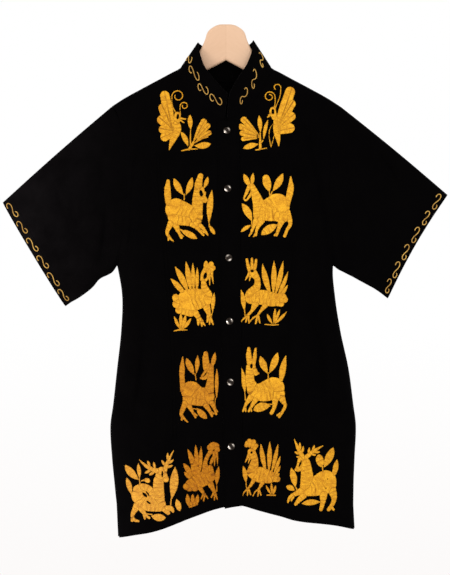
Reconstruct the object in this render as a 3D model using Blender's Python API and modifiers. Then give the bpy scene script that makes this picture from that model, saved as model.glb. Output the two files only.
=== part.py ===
"""A short-sleeved guayabera with a stand collar, hanging on a plain wooden hanger.

Metres, Z up. X runs to the wearer's left, Y to the wearer's back, and the origin is the middle of
the hanger's top. A drop is a distance below that origin. Each cloth panel is the inner face of its
wall, and the wall is laid outwards from it. The fronts, the back and the sleeves share one surface:
body_depth gives how far it stands off the middle plane at any x and drop.
"""

import math

import bmesh
import bpy
from mathutils import Vector

WALL = 0.0012
TUCK_WALL = 0.0022
COLLAR_WALL = 0.0016
GAP = 0.0003
ARMHOLE_GAP = 0.0009

HANGER_THICK = 0.012
HANGER_EDGE = 0.0045
HANGER_SEAT = 0.0008
HANGER_REACH = 0.202
HOOK_HOLE_RADIUS = 0.0018
HOOK_HOLE_DEPTH = 0.022
SHOULDER_ROUND = 0.0088
SHOULDER_FALL = 0.17
SECTION_POWER = 2.3

# Shoulder line and neck, from the middle out to the shoulder tip: x, drop.
SHOULDER = (
    (0.000, 0.0640),
    (0.040, 0.0670),
    (0.081, 0.0795),
    (0.121, 0.1000),
    (0.151, 0.1160),
    (0.180, 0.1320),
    (0.204, 0.1475),
)
FRONT_NECK = (
    (0.0810, 0.0795),
    (0.0775, 0.0900),
    (0.0710, 0.1030),
    (0.0610, 0.1210),
    (0.0470, 0.1400),
    (0.0300, 0.1550),
    (0.0120, 0.1665),
    (0.0010, 0.1700),
)
BACK_NECK = ((0.000, 0.0990), (0.030, 0.0970), (0.060, 0.0900), (0.081, 0.0795))

# Armhole edge of the panels, shoulder tip to underarm: drop, x on the right, x on the left.
ARMHOLE = (
    (0.1475, -0.2030, 0.2040),
    (0.1650, -0.1930, 0.1970),
    (0.1930, -0.1845, 0.1895),
    (0.2300, -0.1785, 0.1850),
    (0.2700, -0.1755, 0.1830),
    (0.3130, -0.1760, 0.1830),
    (0.3660, -0.1820, 0.1865),
    (0.4050, -0.1880, 0.1890),
    (0.4280, -0.1930, 0.1900),
)
UNDERARM_DROP = 0.4280

# Body below the arms and its unseen continuation above: drop, side seams, depth of front and back.
BODY = (
    (0.060, -0.2500, 0.2500, 0.023, 0.020),
    (0.180, -0.2400, 0.2420, 0.031, 0.028),
    (0.280, -0.2260, 0.2300, 0.036, 0.033),
    (0.370, -0.2060, 0.2060, 0.040, 0.037),
    (0.428, -0.1930, 0.1900, 0.042, 0.040),
    (0.484, -0.1840, 0.1932, 0.043, 0.042),
    (0.548, -0.1860, 0.2033, 0.044, 0.044),
    (0.612, -0.1930, 0.2172, 0.045, 0.046),
    (0.676, -0.2000, 0.2258, 0.046, 0.047),
    (0.715, -0.2050, 0.2304, 0.046, 0.048),
    (0.772, -0.2020, 0.2280, 0.047, 0.049),
    (0.836, -0.1960, 0.2262, 0.047, 0.050),
    (0.915, -0.1920, 0.2300, 0.047, 0.050),
)
DROP, RIGHT_SEAM, LEFT_SEAM, FRONT_DEPTH, BACK_DEPTH = range(5)

# Front hem: share of the way from the middle front to the side seam, drop on the right and on the left.
HEM = (
    (0.00, 0.8522, 0.8478),
    (0.09, 0.8528, 0.8502),
    (0.18, 0.8580, 0.8560),
    (0.30, 0.8668, 0.8635),
    (0.40, 0.8745, 0.8693),
    (0.50, 0.8830, 0.8762),
    (0.60, 0.8910, 0.8800),
    (0.72, 0.8985, 0.8832),
    (0.86, 0.9042, 0.8880),
    (1.00, 0.9110, 0.8965),
)

# Back hem: share of the way from the right side seam to the left one, drop.
BACK_HEM = (
    (0.00, 0.9110),
    (0.15, 0.9030),
    (0.35, 0.8780),
    (0.52, 0.8630),
    (0.70, 0.8740),
    (0.87, 0.8880),
    (1.00, 0.8965),
)
VENT_DROP = 0.815
VENT_PULL = (0.0035, 0.0030)

# Middle front, where the snaps sit, and the placket that carries them.
SNAP_DROPS = (0.1920, 0.2948, 0.4162, 0.5273, 0.6335, 0.7458)
MIDDLE_X = 0.0016
MIDDLE_SLANT = 0.0138
PLACKET_TOP_DROP = 0.1745
PLACKET_RIGHT = (0.0175, 0.0130)
PLACKET_LEFT = (0.0215, 0.0185)
PLACKET_STEPS = 30
PLACKET_BELOW = 0.0022
PLACKET_SLANT = 0.0026
SNAP_RADIUS = 0.0066
SNAP_HEIGHT = 0.0026

# Pin tucks: four to a band across, two down each front.
TUCK_BANDS = (0.2415, 0.3980, 0.5570, 0.7180)
TUCKS_IN_BAND = 4
TUCK_PITCH = 0.0070
UPRIGHT_TUCKS = 2
UPRIGHT_PITCH = 0.0060
UPRIGHT_LINE = ((0.10, 0.1310), (0.25, 0.1290), (0.42, 0.1180), (0.58, 0.1080), (0.95, 0.1060))
TUCK_END = 0.0245

# Rows of the fronts that hold no tuck: drop at the middle or neck, drop at the side or armhole.
ROWS_HEM = ((1.0, 1.0), (0.72, 0.70), (0.38, 0.36))
ROWS_BETWEEN = (
    ((0.675, 0.675), (0.640, 0.640), (0.605, 0.605)),
    ((0.515, 0.515), (0.485, 0.485), (0.455, 0.457), (0.428, 0.428)),
    ((0.355, 0.355), (0.320, 0.320), (0.285, 0.285)),
)
ROWS_SHOULDER = (
    (0.2110, 0.2180),
    (0.1920, 0.2085),
    (0.1700, 0.1995),
    (0.1670, 0.1955),
    (0.1620, 0.1915),
    (0.1550, 0.1870),
    (0.1460, 0.1825),
    (0.1360, 0.1780),
    (0.1250, 0.1735),
    (0.1140, 0.1690),
    (0.1030, 0.1640),
    (0.0940, 0.1595),
    (0.0875, 0.1550),
    (0.0830, 0.1510),
    (0.0805, 0.1485),
    (0.0795, 0.1475),
)
SIDE_COLUMNS = (0.0, 0.012, 0.05, 0.12, 0.24, 0.42, 0.68, 1.0)
INNER_COLUMNS = (0.25, 0.5, 0.75, 1.0)

BACK_ROWS = (
    0.0, 0.0022, 0.006, 0.0125, 0.025, 0.048, 0.08, 0.12, 0.17, 0.22, 0.27, 0.32, 0.3685, 0.42,
    0.47, 0.52, 0.57, 0.62, 0.67, 0.72, 0.77, 0.82, 0.87, 0.91, 0.955, 1.0,
)
BACK_COLUMNS = (0.0, 0.005, 0.02, 0.05, 0.10, 0.165, 0.235, 0.30, 0.312, 0.33, 0.36, 0.40, 0.45)

# Sleeves: cuff corners as x, drop, and how the rings are shared out.
CUFF_TOP = ((-0.3965, 0.3175), (0.3935, 0.3040))
CUFF_BOTTOM = ((-0.2860, 0.5008), (0.2880, 0.4870))
CUFF_BOW = (0.0010, -0.0062)
CUFF_DEPTH = 0.017
SLEEVE_TOP_RISE = 0.0022
SLEEVE_RINGS = (0.0, 0.05, 0.16, 0.30, 0.46, 0.62, 0.78, 0.92, 1.0)
SLEEVE_DOWN = (0.0, 0.008, 0.03, 0.075, 0.15, 0.25, 0.37, 0.50, 0.63, 0.75, 0.85, 0.92, 0.965, 0.99, 1.0)

# Stand collar: share of the way round from its right front end, seam x and drop, top x, drop and y.
COLLAR = (
    (0.000, -0.0020, 0.1700, 0.0030, 0.1270, -0.0300),
    (0.060, -0.0160, 0.1645, -0.0125, 0.1105, -0.0280),
    (0.120, -0.0330, 0.1525, -0.0270, 0.0935, -0.0250),
    (0.180, -0.0520, 0.1340, -0.0390, 0.0750, -0.0205),
    (0.240, -0.0690, 0.1065, -0.0460, 0.0535, -0.0140),
    (0.285, -0.0790, 0.0860, -0.0490, 0.0375, -0.0045),
    (0.305, -0.0810, 0.0785, -0.0490, 0.0322, 0.0020),
    (0.330, -0.0750, 0.0830, -0.0465, 0.0338, 0.0085),
    (0.370, -0.0600, 0.0900, -0.0380, 0.0390, 0.0125),
    (0.430, -0.0300, 0.0970, -0.0190, 0.0480, 0.0155),
    (0.500, 0.0000, 0.0990, 0.0000, 0.0520, 0.0165),
    (0.570, 0.0300, 0.0970, 0.0190, 0.0480, 0.0155),
    (0.630, 0.0600, 0.0900, 0.0380, 0.0365, 0.0125),
    (0.670, 0.0750, 0.0830, 0.0460, 0.0305, 0.0085),
    (0.695, 0.0810, 0.0785, 0.0480, 0.0285, 0.0020),
    (0.715, 0.0790, 0.0860, 0.0480, 0.0345, -0.0045),
    (0.760, 0.0690, 0.1065, 0.0455, 0.0505, -0.0140),
    (0.820, 0.0520, 0.1340, 0.0370, 0.0730, -0.0205),
    (0.880, 0.0330, 0.1525, 0.0250, 0.0925, -0.0250),
    (0.940, 0.0180, 0.1634, 0.0145, 0.1095, -0.0280),
    (1.000, 0.0010, 0.1700, 0.0060, 0.1270, -0.0300),
)
COLLAR_STEPS = 60
COLLAR_ROWS = 3
COLLAR_EASE = 0.0011
COLLAR_LIFT = (0.0019, 0.0009)

# Largest folds: x and drop of both ends, bow to the side, half width, depth of the trough.
FRONT_FOLDS = (
    (-0.136, 0.500, -0.170, 0.735, 0.006, 0.016, 0.0090),
    (0.142, 0.455, 0.178, 0.730, 0.012, 0.016, 0.0090),
    (0.134, 0.130, 0.184, 0.425, 0.008, 0.016, 0.0060),
    (-0.176, 0.170, -0.180, 0.425, -0.006, 0.014, 0.0050),
    (-0.060, 0.560, -0.110, 0.890, 0.004, 0.026, 0.0060),
    (0.090, 0.580, 0.120, 0.890, 0.004, 0.026, 0.0060),
)
BACK_FOLDS = (
    (-0.150, 0.420, -0.172, 0.760, 0.008, 0.018, 0.0090),
    (0.150, 0.420, 0.186, 0.760, 0.010, 0.018, 0.0090),
    (-0.050, 0.520, -0.080, 0.900, 0.006, 0.030, 0.0080),
    (0.060, 0.480, 0.085, 0.900, 0.006, 0.030, 0.0080),
    (0.168, 0.180, 0.180, 0.410, 0.006, 0.012, 0.0060),
    (-0.164, 0.180, -0.178, 0.410, -0.006, 0.012, 0.0060),
)
SLEEVE_FOLDS = (
    (-0.205, 0.330, -0.222, 0.440, 0.004, 0.012, 0.0060),
    (0.205, 0.330, 0.224, 0.430, -0.004, 0.012, 0.0060),
    (0.270, 0.225, 0.310, 0.290, 0.006, 0.009, 0.0045),
    (-0.262, 0.240, -0.300, 0.330, -0.006, 0.014, 0.0045),
)

# Hanger: x and drop round the block, x of the points along an arm's top, steps back from the arm's
# reach and down from its top round the tip, and x and drop of the two points underneath.
HANGER_BLOCK = (
    (0.0000, 0.0000),
    (0.0120, 0.0006),
    (0.0210, 0.0040),
    (0.0290, 0.0095),
    (0.0340, 0.0165),
    (0.0365, 0.0250),
    (0.0400, 0.0340),
    (0.0450, 0.0440),
    (0.0520, 0.0560),
    (0.0600, 0.0680),
    (0.0690, 0.0785),
    (0.0800, 0.0830),
    (0.0920, 0.0870),
)
HANGER_ARM = (0.104, 0.121, 0.140, 0.160, 0.180, 0.194)
HANGER_TIP = ((0.001, 0.0040), (0.000, 0.0090), (0.003, 0.0165), (0.012, 0.0180))
HANGER_UNDER = ((0.100, 0.1170), (0.000, 0.0640))

COTTON = (0.012, 0.010, 0.012)
WOOD = (0.80, 0.57, 0.38)
METAL = (0.72, 0.70, 0.68)


def smooth(value):
    value = min(max(value, 0.0), 1.0)
    return value * value * (3 - 2 * value)


def read(table, column, at, key=0):
    """The table's column at a place along its key, on a curve through the rows."""
    rows = table if table[0][key] < table[-1][key] else table[::-1]
    last = len(rows) - 1
    at = min(max(at, rows[0][key]), rows[last][key])
    row = next(index for index in range(last) if at <= rows[index + 1][key])
    start, end = rows[row], rows[row + 1]
    span = end[key] - start[key]
    share = (at - start[key]) / span

    def slope(index):
        before, after = rows[max(index - 1, 0)], rows[min(index + 1, last)]
        return (after[column] - before[column]) / (after[key] - before[key]) * span

    square, cube = share * share, share * share * share
    return (
        (2 * cube - 3 * square + 1) * start[column]
        + (cube - 2 * square + share) * slope(row)
        + (3 * square - 2 * cube) * end[column]
        + (cube - square) * slope(row + 1)
    )


def shoulder_drop(x):
    return read(SHOULDER, 1, abs(x))


def middle_x(drop):
    return MIDDLE_X + (drop - SNAP_DROPS[0]) * MIDDLE_SLANT


def fold_depth(folds, x, drop):
    """How far the troughs press the cloth in at a place."""
    total = 0.0
    for start_x, start_drop, end_x, end_drop, bow, width, depth in folds:
        along = Vector((end_x - start_x, end_drop - start_drop))
        away = Vector((x - start_x, drop - start_drop))
        share = away.dot(along) / along.length_squared
        if not 0 < share < 1:
            continue
        off = (away.x * along.y - away.y * along.x) / along.length - bow * 4 * share * (1 - share)
        total += depth * math.exp(-((off / width) ** 2)) * math.sin(math.pi * share)
    return total


def body_depth(x, drop, back=False):
    """How far the front or the back stands off the middle plane, folds left out."""
    seam = read(BODY, LEFT_SEAM if x > 0 else RIGHT_SEAM, drop)
    share = min(abs(x / seam), 1.0)
    section = (1 - share**SECTION_POWER) ** (1 / SECTION_POWER)
    edge = (1 - share**8) ** 0.125
    fall = max(drop - shoulder_drop(x), 0.0)
    turn = SHOULDER_ROUND * math.sqrt(1 - (1 - min(fall / SHOULDER_ROUND, 1.0)) ** 2)
    deep = read(BODY, BACK_DEPTH if back else FRONT_DEPTH, drop)
    lean = smooth((fall - SHOULDER_ROUND * 0.3) / SHOULDER_FALL)
    return turn * edge * (1 - lean) + deep * lean * section


def front_point(x, drop, out=0.0):
    """A place on the front's inner face, or further out along the depth."""
    depth = body_depth(x, drop)
    trough = fold_depth(FRONT_FOLDS, x, drop) * smooth(depth / 0.02)
    return Vector((x, -(depth - trough) - GAP / 2 - out, -drop))


def back_point(x, drop):
    depth = body_depth(x, drop, back=True)
    trough = fold_depth(BACK_FOLDS, x, drop) * smooth(depth / 0.02)
    return Vector((x, depth - trough + GAP / 2, -drop))


def outer_x(side, drop):
    """The panel's outer edge: the armhole, and below it the side seam."""
    if drop < UNDERARM_DROP:
        return read(ARMHOLE, 1 if side < 0 else 2, drop)
    return read(BODY, RIGHT_SEAM if side < 0 else LEFT_SEAM, drop)


def hem_drop(side, share):
    return read(HEM, 1 if side < 0 else 2, share)


def front_rows(side):
    """Drops at the middle and at the side of every row, hem first, and whether a tuck lies on it."""
    lowest = TUCK_BANDS[-1] + TUCKS_IN_BAND * TUCK_PITCH / 2
    rows = []
    for inner, outer in ROWS_HEM:
        inner_drop = lowest + (hem_drop(side, 0) - lowest) * inner
        rows.append((inner_drop, lowest + (hem_drop(side, 1) - lowest) * outer, False))
    for band in reversed(range(len(TUCK_BANDS))):
        for step in range(2 * TUCKS_IN_BAND + 1):
            drop = TUCK_BANDS[band] + (TUCKS_IN_BAND - step) * TUCK_PITCH / 2
            rows.append((drop, drop, step % 2 == 1))
        between = ROWS_BETWEEN[len(TUCK_BANDS) - 1 - band] if band else ROWS_SHOULDER
        rows += [(inner, outer, False) for inner, outer in between]
    return rows


def front_columns(side, inner, outer, drop):
    """x of every column, outer edge first, and whether a tuck's ridge can lie there."""
    line = inner + side * read(UPRIGHT_LINE, 1, drop)
    if abs(line) > abs(outer) - 0.03:
        line = outer - side * 0.03
    span = abs(line - inner)
    line = inner + side * max(span, 0.35 * abs(outer - inner))
    columns = [(outer + (line - outer) * share, 0, 0) for share in SIDE_COLUMNS]
    squeeze = min(1.0, abs(line - inner) / 0.09)
    for step in range(1, 2 * UPRIGHT_TUCKS + 1):
        columns.append((line - side * step * UPRIGHT_PITCH / 2 * squeeze, 0, step % 2))
    start = columns[-1][0]
    end = inner + side * TUCK_END * squeeze
    columns[-1] = (start, 1, 0)
    columns += [(start + (end - start) * share, 1, 0) for share in INNER_COLUMNS]
    columns.append((end - side * 0.002 * squeeze, 0, 0))
    columns.append((inner + side * GAP / 2, 0, 0))
    return columns


def front_panel(side):
    """Rows of points of one front, and the share of the tuck's height at each."""
    rows, heights = [], []
    levels = front_rows(side)
    top_drop = levels[-len(ROWS_SHOULDER) - 1][0]
    for number, (inner_drop, outer_drop, tuck) in enumerate(levels):
        low = inner_drop >= FRONT_NECK[-1][1]
        inner = middle_x(inner_drop) if low else side * read(FRONT_NECK, 0, inner_drop, key=1)
        outer = outer_x(side, outer_drop)
        outer -= side * VENT_PULL[side > 0] * smooth((outer_drop - VENT_DROP) / 0.08)
        near_top = smooth((top_drop - inner_drop) / (top_drop - FRONT_NECK[0][1]))
        near_hem = max(0.0, 1 - number / len(ROWS_HEM))
        row, height = [], []
        for x, across, upright in front_columns(side, inner, outer, inner_drop):
            share = (x - inner) / (outer - inner)
            drop = inner_drop + (outer_drop - inner_drop) * share
            chord = FRONT_NECK[0][1] + (SHOULDER[-1][1] - FRONT_NECK[0][1]) * share
            drop += (shoulder_drop(x) - chord) * near_top**3
            straight = hem_drop(side, 0) + (hem_drop(side, 1) - hem_drop(side, 0)) * share
            drop += (hem_drop(side, share) - straight) * near_hem
            row.append(front_point(x, drop))
            raised = across if tuck else 0
            if upright and TUCK_BANDS[0] < inner_drop < TUCK_BANDS[-1] + 0.014:
                raised = 1
            height.append(raised)
        rows.append(row)
        heights.append(height)
    return rows, heights


def back_panel():
    rows = []
    shares = BACK_COLUMNS + (0.5,) + tuple(1 - share for share in BACK_COLUMNS[::-1])
    for down in BACK_ROWS:
        ends = []
        for side in (-1, 1):
            drop = SHOULDER[-1][1] + (hem_drop(side, 1) - SHOULDER[-1][1]) * down
            ends.append(outer_x(side, drop))
        row = []
        for share in shares:
            top_x = ARMHOLE[0][1] + (ARMHOLE[0][2] - ARMHOLE[0][1]) * share
            inside = abs(top_x) < BACK_NECK[-1][0]
            top = read(BACK_NECK, 1, abs(top_x)) if inside else shoulder_drop(top_x)
            hem = read(BACK_HEM, 1, share)
            row.append(back_point(ends[0] + (ends[1] - ends[0]) * share, top + (hem - top) * down))
        rows.append(row)
    return rows


def cuff_place(side, down):
    """A place on the cuff's line as x and drop, from its top corner down to its bottom one."""
    top, bottom = Vector(CUFF_TOP[side > 0]), Vector(CUFF_BOTTOM[side > 0])
    line = bottom - top
    bow = CUFF_BOW[side > 0] * 4 * down * (1 - down) * side / line.length
    return top.x + line.x * down + line.y * bow, top.y + line.y * down - line.x * bow


def sleeve_rings(side):
    """Rings from the armhole to the cuff, each from the top down the front and up the back."""
    around = [(share, False) for share in SLEEVE_DOWN]
    around += [(share, True) for share in SLEEVE_DOWN[-2:0:-1]]
    rings = []
    for along in SLEEVE_RINGS:
        ring = []
        for down, back in around:
            drop = SHOULDER[-1][1] + (UNDERARM_DROP - SHOULDER[-1][1]) * down
            point_on = back_point if back else front_point
            start = point_on(outer_x(side, drop), drop)
            start.y = start.y if 0 < down < 1 else 0.0
            end_x, end_drop = cuff_place(side, down)
            end_y = CUFF_DEPTH * (1 - abs(2 * down - 1) ** 2.6) ** (1 / 2.6) * (1 if back else -1)
            end = Vector((end_x, end_y, -end_drop))
            way = (end - start).normalized()
            start += way * (ARMHOLE_GAP + 0.0016 * smooth((down - 0.7) / 0.3))
            point = start.lerp(end, along)
            point.z += SLEEVE_TOP_RISE * math.sin(math.pi * along) * (1 - down) ** 2
            trough = fold_depth(SLEEVE_FOLDS, point.x, -point.z) * smooth(abs(point.y) / 0.01)
            point.y += trough if point.y < 0 else -trough
            ring.append(point)
        rings.append(ring)
    return rings


def collar_rows():
    """Rows of the band from the neck seam up to its free edge."""
    rows = [[] for _ in range(COLLAR_ROWS + 1)]
    for step in range(COLLAR_STEPS + 1):
        around = step / COLLAR_STEPS
        seam_x, seam_drop, top_x, top_drop, top_y = (read(COLLAR, column, around) for column in range(1, 6))
        behind = smooth((0.195 - abs(around - 0.5)) / 0.02 + 0.5)
        front, back = front_point(seam_x, seam_drop).y, back_point(seam_x, seam_drop).y
        seam = Vector((seam_x, front + (back - front) * behind, -seam_drop))
        top = Vector((top_x, top_y, -top_drop))
        lift = COLLAR_LIFT[0] + (COLLAR_LIFT[1] - COLLAR_LIFT[0]) * behind
        seam += (top - seam).normalized() * lift
        seam.x -= math.copysign(COLLAR_EASE, seam.x) * (1 - behind) * smooth(abs(seam.x) / 0.03)
        for number, row in enumerate(rows):
            row.append(seam.lerp(top, number / COLLAR_ROWS))
    return rows


def placket_rows():
    bottom = (hem_drop(-1, 0) + hem_drop(1, 0)) / 2 + PLACKET_BELOW
    rows = []
    for step in range(PLACKET_STEPS + 1):
        share = step / PLACKET_STEPS
        drop = bottom + (PLACKET_TOP_DROP - bottom) * share
        right = PLACKET_RIGHT[1] + (PLACKET_RIGHT[0] - PLACKET_RIGHT[1]) * share
        left = PLACKET_LEFT[1] + (PLACKET_LEFT[0] - PLACKET_LEFT[1]) * share
        row = []
        for across in (-1.0, -0.5, 0.0, 0.5, 1.0):
            at = drop - PLACKET_SLANT * across * (1 - share)
            x = middle_x(at) + across * (right if across < 0 else left)
            row.append(front_point(x, at, out=WALL + 2 * GAP))
        rows.append(row)
    return rows


def material(name, colour, roughness, metallic=0.0):
    made = bpy.data.materials.new(name)
    made.use_nodes = True
    shader = made.node_tree.nodes["Principled BSDF"]
    shader.inputs["Base Color"].default_value = (*colour, 1.0)
    shader.inputs["Roughness"].default_value = roughness
    shader.inputs["Metallic"].default_value = metallic
    return made


def add_object(name, mesh, finish, collection):
    obj = bpy.data.objects.new(name, mesh)
    collection.objects.link(obj)
    mesh.materials.append(finish)
    mesh.shade_smooth()
    return obj


def cloth(name, rows, finish, collection, wall=WALL, ring=False, flip=False, heights=None):
    """A panel through rows of points, its wall laid outwards, thicker where a height is given."""
    mesh = bpy.data.meshes.new(name)
    width = len(rows[0])
    points = [point for row in rows for point in row]
    faces = []
    for row in range(len(rows) - 1):
        for column in range(width if ring else width - 1):
            after = (column + 1) % width
            here, above = row * width, (row + 1) * width
            face = [here + column, here + after, above + after, above + column]
            faces.append(face[::-1] if flip else face)
    mesh.from_pydata(points, [], faces)
    obj = add_object(name, mesh, finish, collection)
    solidify = obj.modifiers.new("Wall", "SOLIDIFY")
    solidify.offset = 1.0
    solidify.thickness = wall
    if heights:
        group = obj.vertex_groups.new(name="Tucks")
        for index, height in enumerate(value for row in heights for value in row):
            group.add([index], height, "REPLACE")
        solidify.thickness = TUCK_WALL
        solidify.vertex_group = group.name
        solidify.thickness_vertex_group = wall / TUCK_WALL
    return obj


def snap(number, drop, mesh, finish, collection):
    """A domed cap on the placket, facing straight out of the cloth."""
    x = middle_x(drop)
    out = 2 * WALL + 3 * GAP
    here = front_point(x, drop, out=out)
    beside = front_point(x + SNAP_RADIUS, drop, out=out) - front_point(x - SNAP_RADIUS, drop, out=out)
    above = front_point(x, drop - SNAP_RADIUS, out=out) - front_point(x, drop + SNAP_RADIUS, out=out)
    facing = beside.cross(above).normalized()
    obj = add_object(f"snap_{number}", mesh, finish, collection)
    obj.location = here + facing * GAP
    obj.rotation_euler = facing.to_track_quat("Z", "Y").to_euler()
    return obj


def snap_mesh():
    """A turned cap: flat back, rolled rim, a shallow groove and a low dome."""
    mesh = bpy.data.meshes.new("snap")
    profile = (
        (0.0, SNAP_HEIGHT),
        (0.35 * SNAP_RADIUS, 0.92 * SNAP_HEIGHT),
        (0.66 * SNAP_RADIUS, 0.62 * SNAP_HEIGHT),
        (0.84 * SNAP_RADIUS, 0.70 * SNAP_HEIGHT),
        (1.00 * SNAP_RADIUS, 0.34 * SNAP_HEIGHT),
        (0.94 * SNAP_RADIUS, 0.0),
        (0.0, 0.0),
    )
    shape = bmesh.new()
    points = [shape.verts.new((radius, 0.0, height)) for radius, height in profile]
    edges = [shape.edges.new(pair) for pair in zip(points, points[1:])]
    bmesh.ops.spin(shape, geom=points + edges, angle=2 * math.pi, steps=14, axis=(0, 0, 1), use_merge=True)
    bmesh.ops.remove_doubles(shape, verts=shape.verts, dist=1e-6)
    bmesh.ops.recalc_face_normals(shape, faces=shape.faces)
    shape.to_mesh(mesh)
    shape.free()
    return mesh


def hanger_half():
    """The hanger's outline from the middle of its top, along one arm and back under to the notch."""
    arm = [(x, shoulder_drop(x) + HANGER_SEAT) for x in HANGER_ARM]
    tip_drop = shoulder_drop(HANGER_REACH)
    tip = [(HANGER_REACH - back, tip_drop + down) for back, down in HANGER_TIP]
    return [*HANGER_BLOCK, *arm, *tip, *HANGER_UNDER]


def hanger(finish, collection):
    half = hanger_half()
    outline = half + [(-x, drop) for x, drop in half[-2:0:-1]]
    curve = bpy.data.curves.new("hanger_outline", "CURVE")
    curve.dimensions = "2D"
    curve.fill_mode = "BOTH"
    curve.extrude = HANGER_THICK / 2 - HANGER_EDGE
    curve.bevel_depth = HANGER_EDGE
    curve.bevel_resolution = 1
    curve.offset = -HANGER_EDGE
    spline = curve.splines.new("POLY")
    spline.points.add(len(outline) - 1)
    for point, (x, drop) in zip(spline.points, outline):
        point.co = (x, -drop, 0.0, 1.0)
    spline.use_cyclic_u = True
    flat = bpy.data.objects.new("hanger_outline", curve)
    collection.objects.link(flat)
    bpy.context.view_layer.update()
    mesh = bpy.data.meshes.new_from_object(flat.evaluated_get(bpy.context.evaluated_depsgraph_get()))
    bpy.data.objects.remove(flat)
    shape = bmesh.new()
    shape.from_mesh(mesh)
    bmesh.ops.remove_doubles(shape, verts=shape.verts, dist=1e-6)
    shape.to_mesh(mesh)
    shape.free()
    obj = add_object("hanger", mesh, finish, collection)
    obj.rotation_euler = (math.pi / 2, 0.0, 0.0)
    return obj


def hook_hole(obj, cutters):
    """The screw hole for a hook, down from the middle of the top."""
    mesh = bpy.data.meshes.new("hook_hole")
    shape = bmesh.new()
    bmesh.ops.create_cone(
        shape,
        cap_ends=True,
        segments=12,
        radius1=HOOK_HOLE_RADIUS,
        radius2=HOOK_HOLE_RADIUS,
        depth=2 * HOOK_HOLE_DEPTH,
    )
    shape.to_mesh(mesh)
    shape.free()
    cutter = bpy.data.objects.new("hook_hole", mesh)
    cutters.objects.link(cutter)
    cutter.hide_render = True
    cutter.display_type = "WIRE"
    cut = obj.modifiers.new("Hook hole", "BOOLEAN")
    cut.operation = "DIFFERENCE"
    cut.solver = "EXACT"
    cut.object = cutter


def main():
    for obj in list(bpy.data.objects):
        bpy.data.objects.remove(obj)
    shirt = bpy.data.collections.new("guayabera_shirt")
    cutters = bpy.data.collections.new("cutters")
    bpy.context.scene.collection.children.link(shirt)
    bpy.context.scene.collection.children.link(cutters)

    def cotton(name):
        return material(name + "_cotton", COTTON, 0.85)

    held_by = hanger(material("pale_wood", WOOD, 0.5), shirt)
    hook_hole(held_by, cutters)
    cloth("back", back_panel(), cotton("back"), shirt)
    for name, side in (("front_right", -1), ("front_left", 1)):
        rows, heights = front_panel(side)
        cloth(name, rows, cotton(name), shirt, flip=side > 0, heights=heights)
    for name, side in (("sleeve_right", -1), ("sleeve_left", 1)):
        cloth(name, sleeve_rings(side), cotton(name), shirt, ring=True, flip=side < 0)
    cloth("collar", collar_rows(), cotton("collar"), shirt, wall=COLLAR_WALL, flip=True)
    cloth("placket", placket_rows(), cotton("placket"), shirt)
    cap = snap_mesh()
    for number, drop in enumerate(SNAP_DROPS, 1):
        snap(number, drop, cap, material(f"snap_{number}_metal", METAL, 0.2, 1.0), shirt)


main()
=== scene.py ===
"""Looks of a black embroidered guayabera hanging on a wooden hanger.

Metres, Z up, X to the wearer's left, Y to the wearer's back, origin at the middle of the hanger's top.
A drop is a distance below the origin. The cloth follows the same tables as the solids, on a finer
grid, with pin tucks, hems, seams and creases added. The embroidery is drawn with strokes on a flat
sheet and laid on the cloth.
"""

import math

import bmesh
import bpy
import numpy as np
from mathutils import Matrix, Vector


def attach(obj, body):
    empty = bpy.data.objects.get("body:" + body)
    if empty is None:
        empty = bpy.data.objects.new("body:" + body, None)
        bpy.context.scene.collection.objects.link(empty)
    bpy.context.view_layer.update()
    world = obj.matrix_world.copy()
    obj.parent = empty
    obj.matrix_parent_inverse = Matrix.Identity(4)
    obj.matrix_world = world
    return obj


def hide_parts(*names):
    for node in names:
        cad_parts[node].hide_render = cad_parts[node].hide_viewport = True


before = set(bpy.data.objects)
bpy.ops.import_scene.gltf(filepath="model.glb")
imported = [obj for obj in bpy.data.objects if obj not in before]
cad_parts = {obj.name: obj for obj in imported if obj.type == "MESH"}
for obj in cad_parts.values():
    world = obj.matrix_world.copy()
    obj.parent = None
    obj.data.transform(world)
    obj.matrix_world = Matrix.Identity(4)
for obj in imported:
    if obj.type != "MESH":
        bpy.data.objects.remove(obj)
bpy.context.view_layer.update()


def mm_rows(text, shares=0):
    """Rows split by semicolons, in millimetres after their first columns, which are shares."""
    rows = [row.split() for row in text.split(";")]
    return [(*map(float, row[:shares]), *(float(word + "e-3") for word in row[shares:])) for row in rows]


# Thickness of the cloth, gaps to its neighbours, the rounding over the shoulders, the body's section,
# and the depth of the body under which folds fade.
CLOTH = 0.0008
COLLAR_CLOTH = 0.0014
GAP = 0.0003
ARMHOLE_GAP = 0.0009
SHOULDER_ROUND = 0.0088
SHOULDER_FALL = 0.17
SECTION_POWER = 2.3
FOLD_FADE = 0.02

# Shoulder line and neck, from the middle out to the shoulder tip: x, drop.
SHOULDER = mm_rows("""
    0 64; 40 67; 81 79.5; 121 100; 151 116; 180 132; 204 147.5
""")
FRONT_NECK = mm_rows("""
    81 79.5; 77.5 90; 71 103; 61 121; 47 140; 30 155; 12 166.5; 1 170
""")
BACK_NECK = mm_rows("""
    0 99; 30 97; 60 90; 81 79.5
""")
TIP_DROP = SHOULDER[-1][1]

# Armhole edge of the panels: drop, x on the right, x on the left.
ARMHOLE = mm_rows("""
    147.5 -203 204; 165 -193 197; 193 -184.5 189.5; 230 -178.5 185; 270 -175.5 183; 313 -176 183;
    366 -182 186.5; 405 -188 189; 428 -193 190
""")
UNDERARM_DROP = 0.4280

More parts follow.
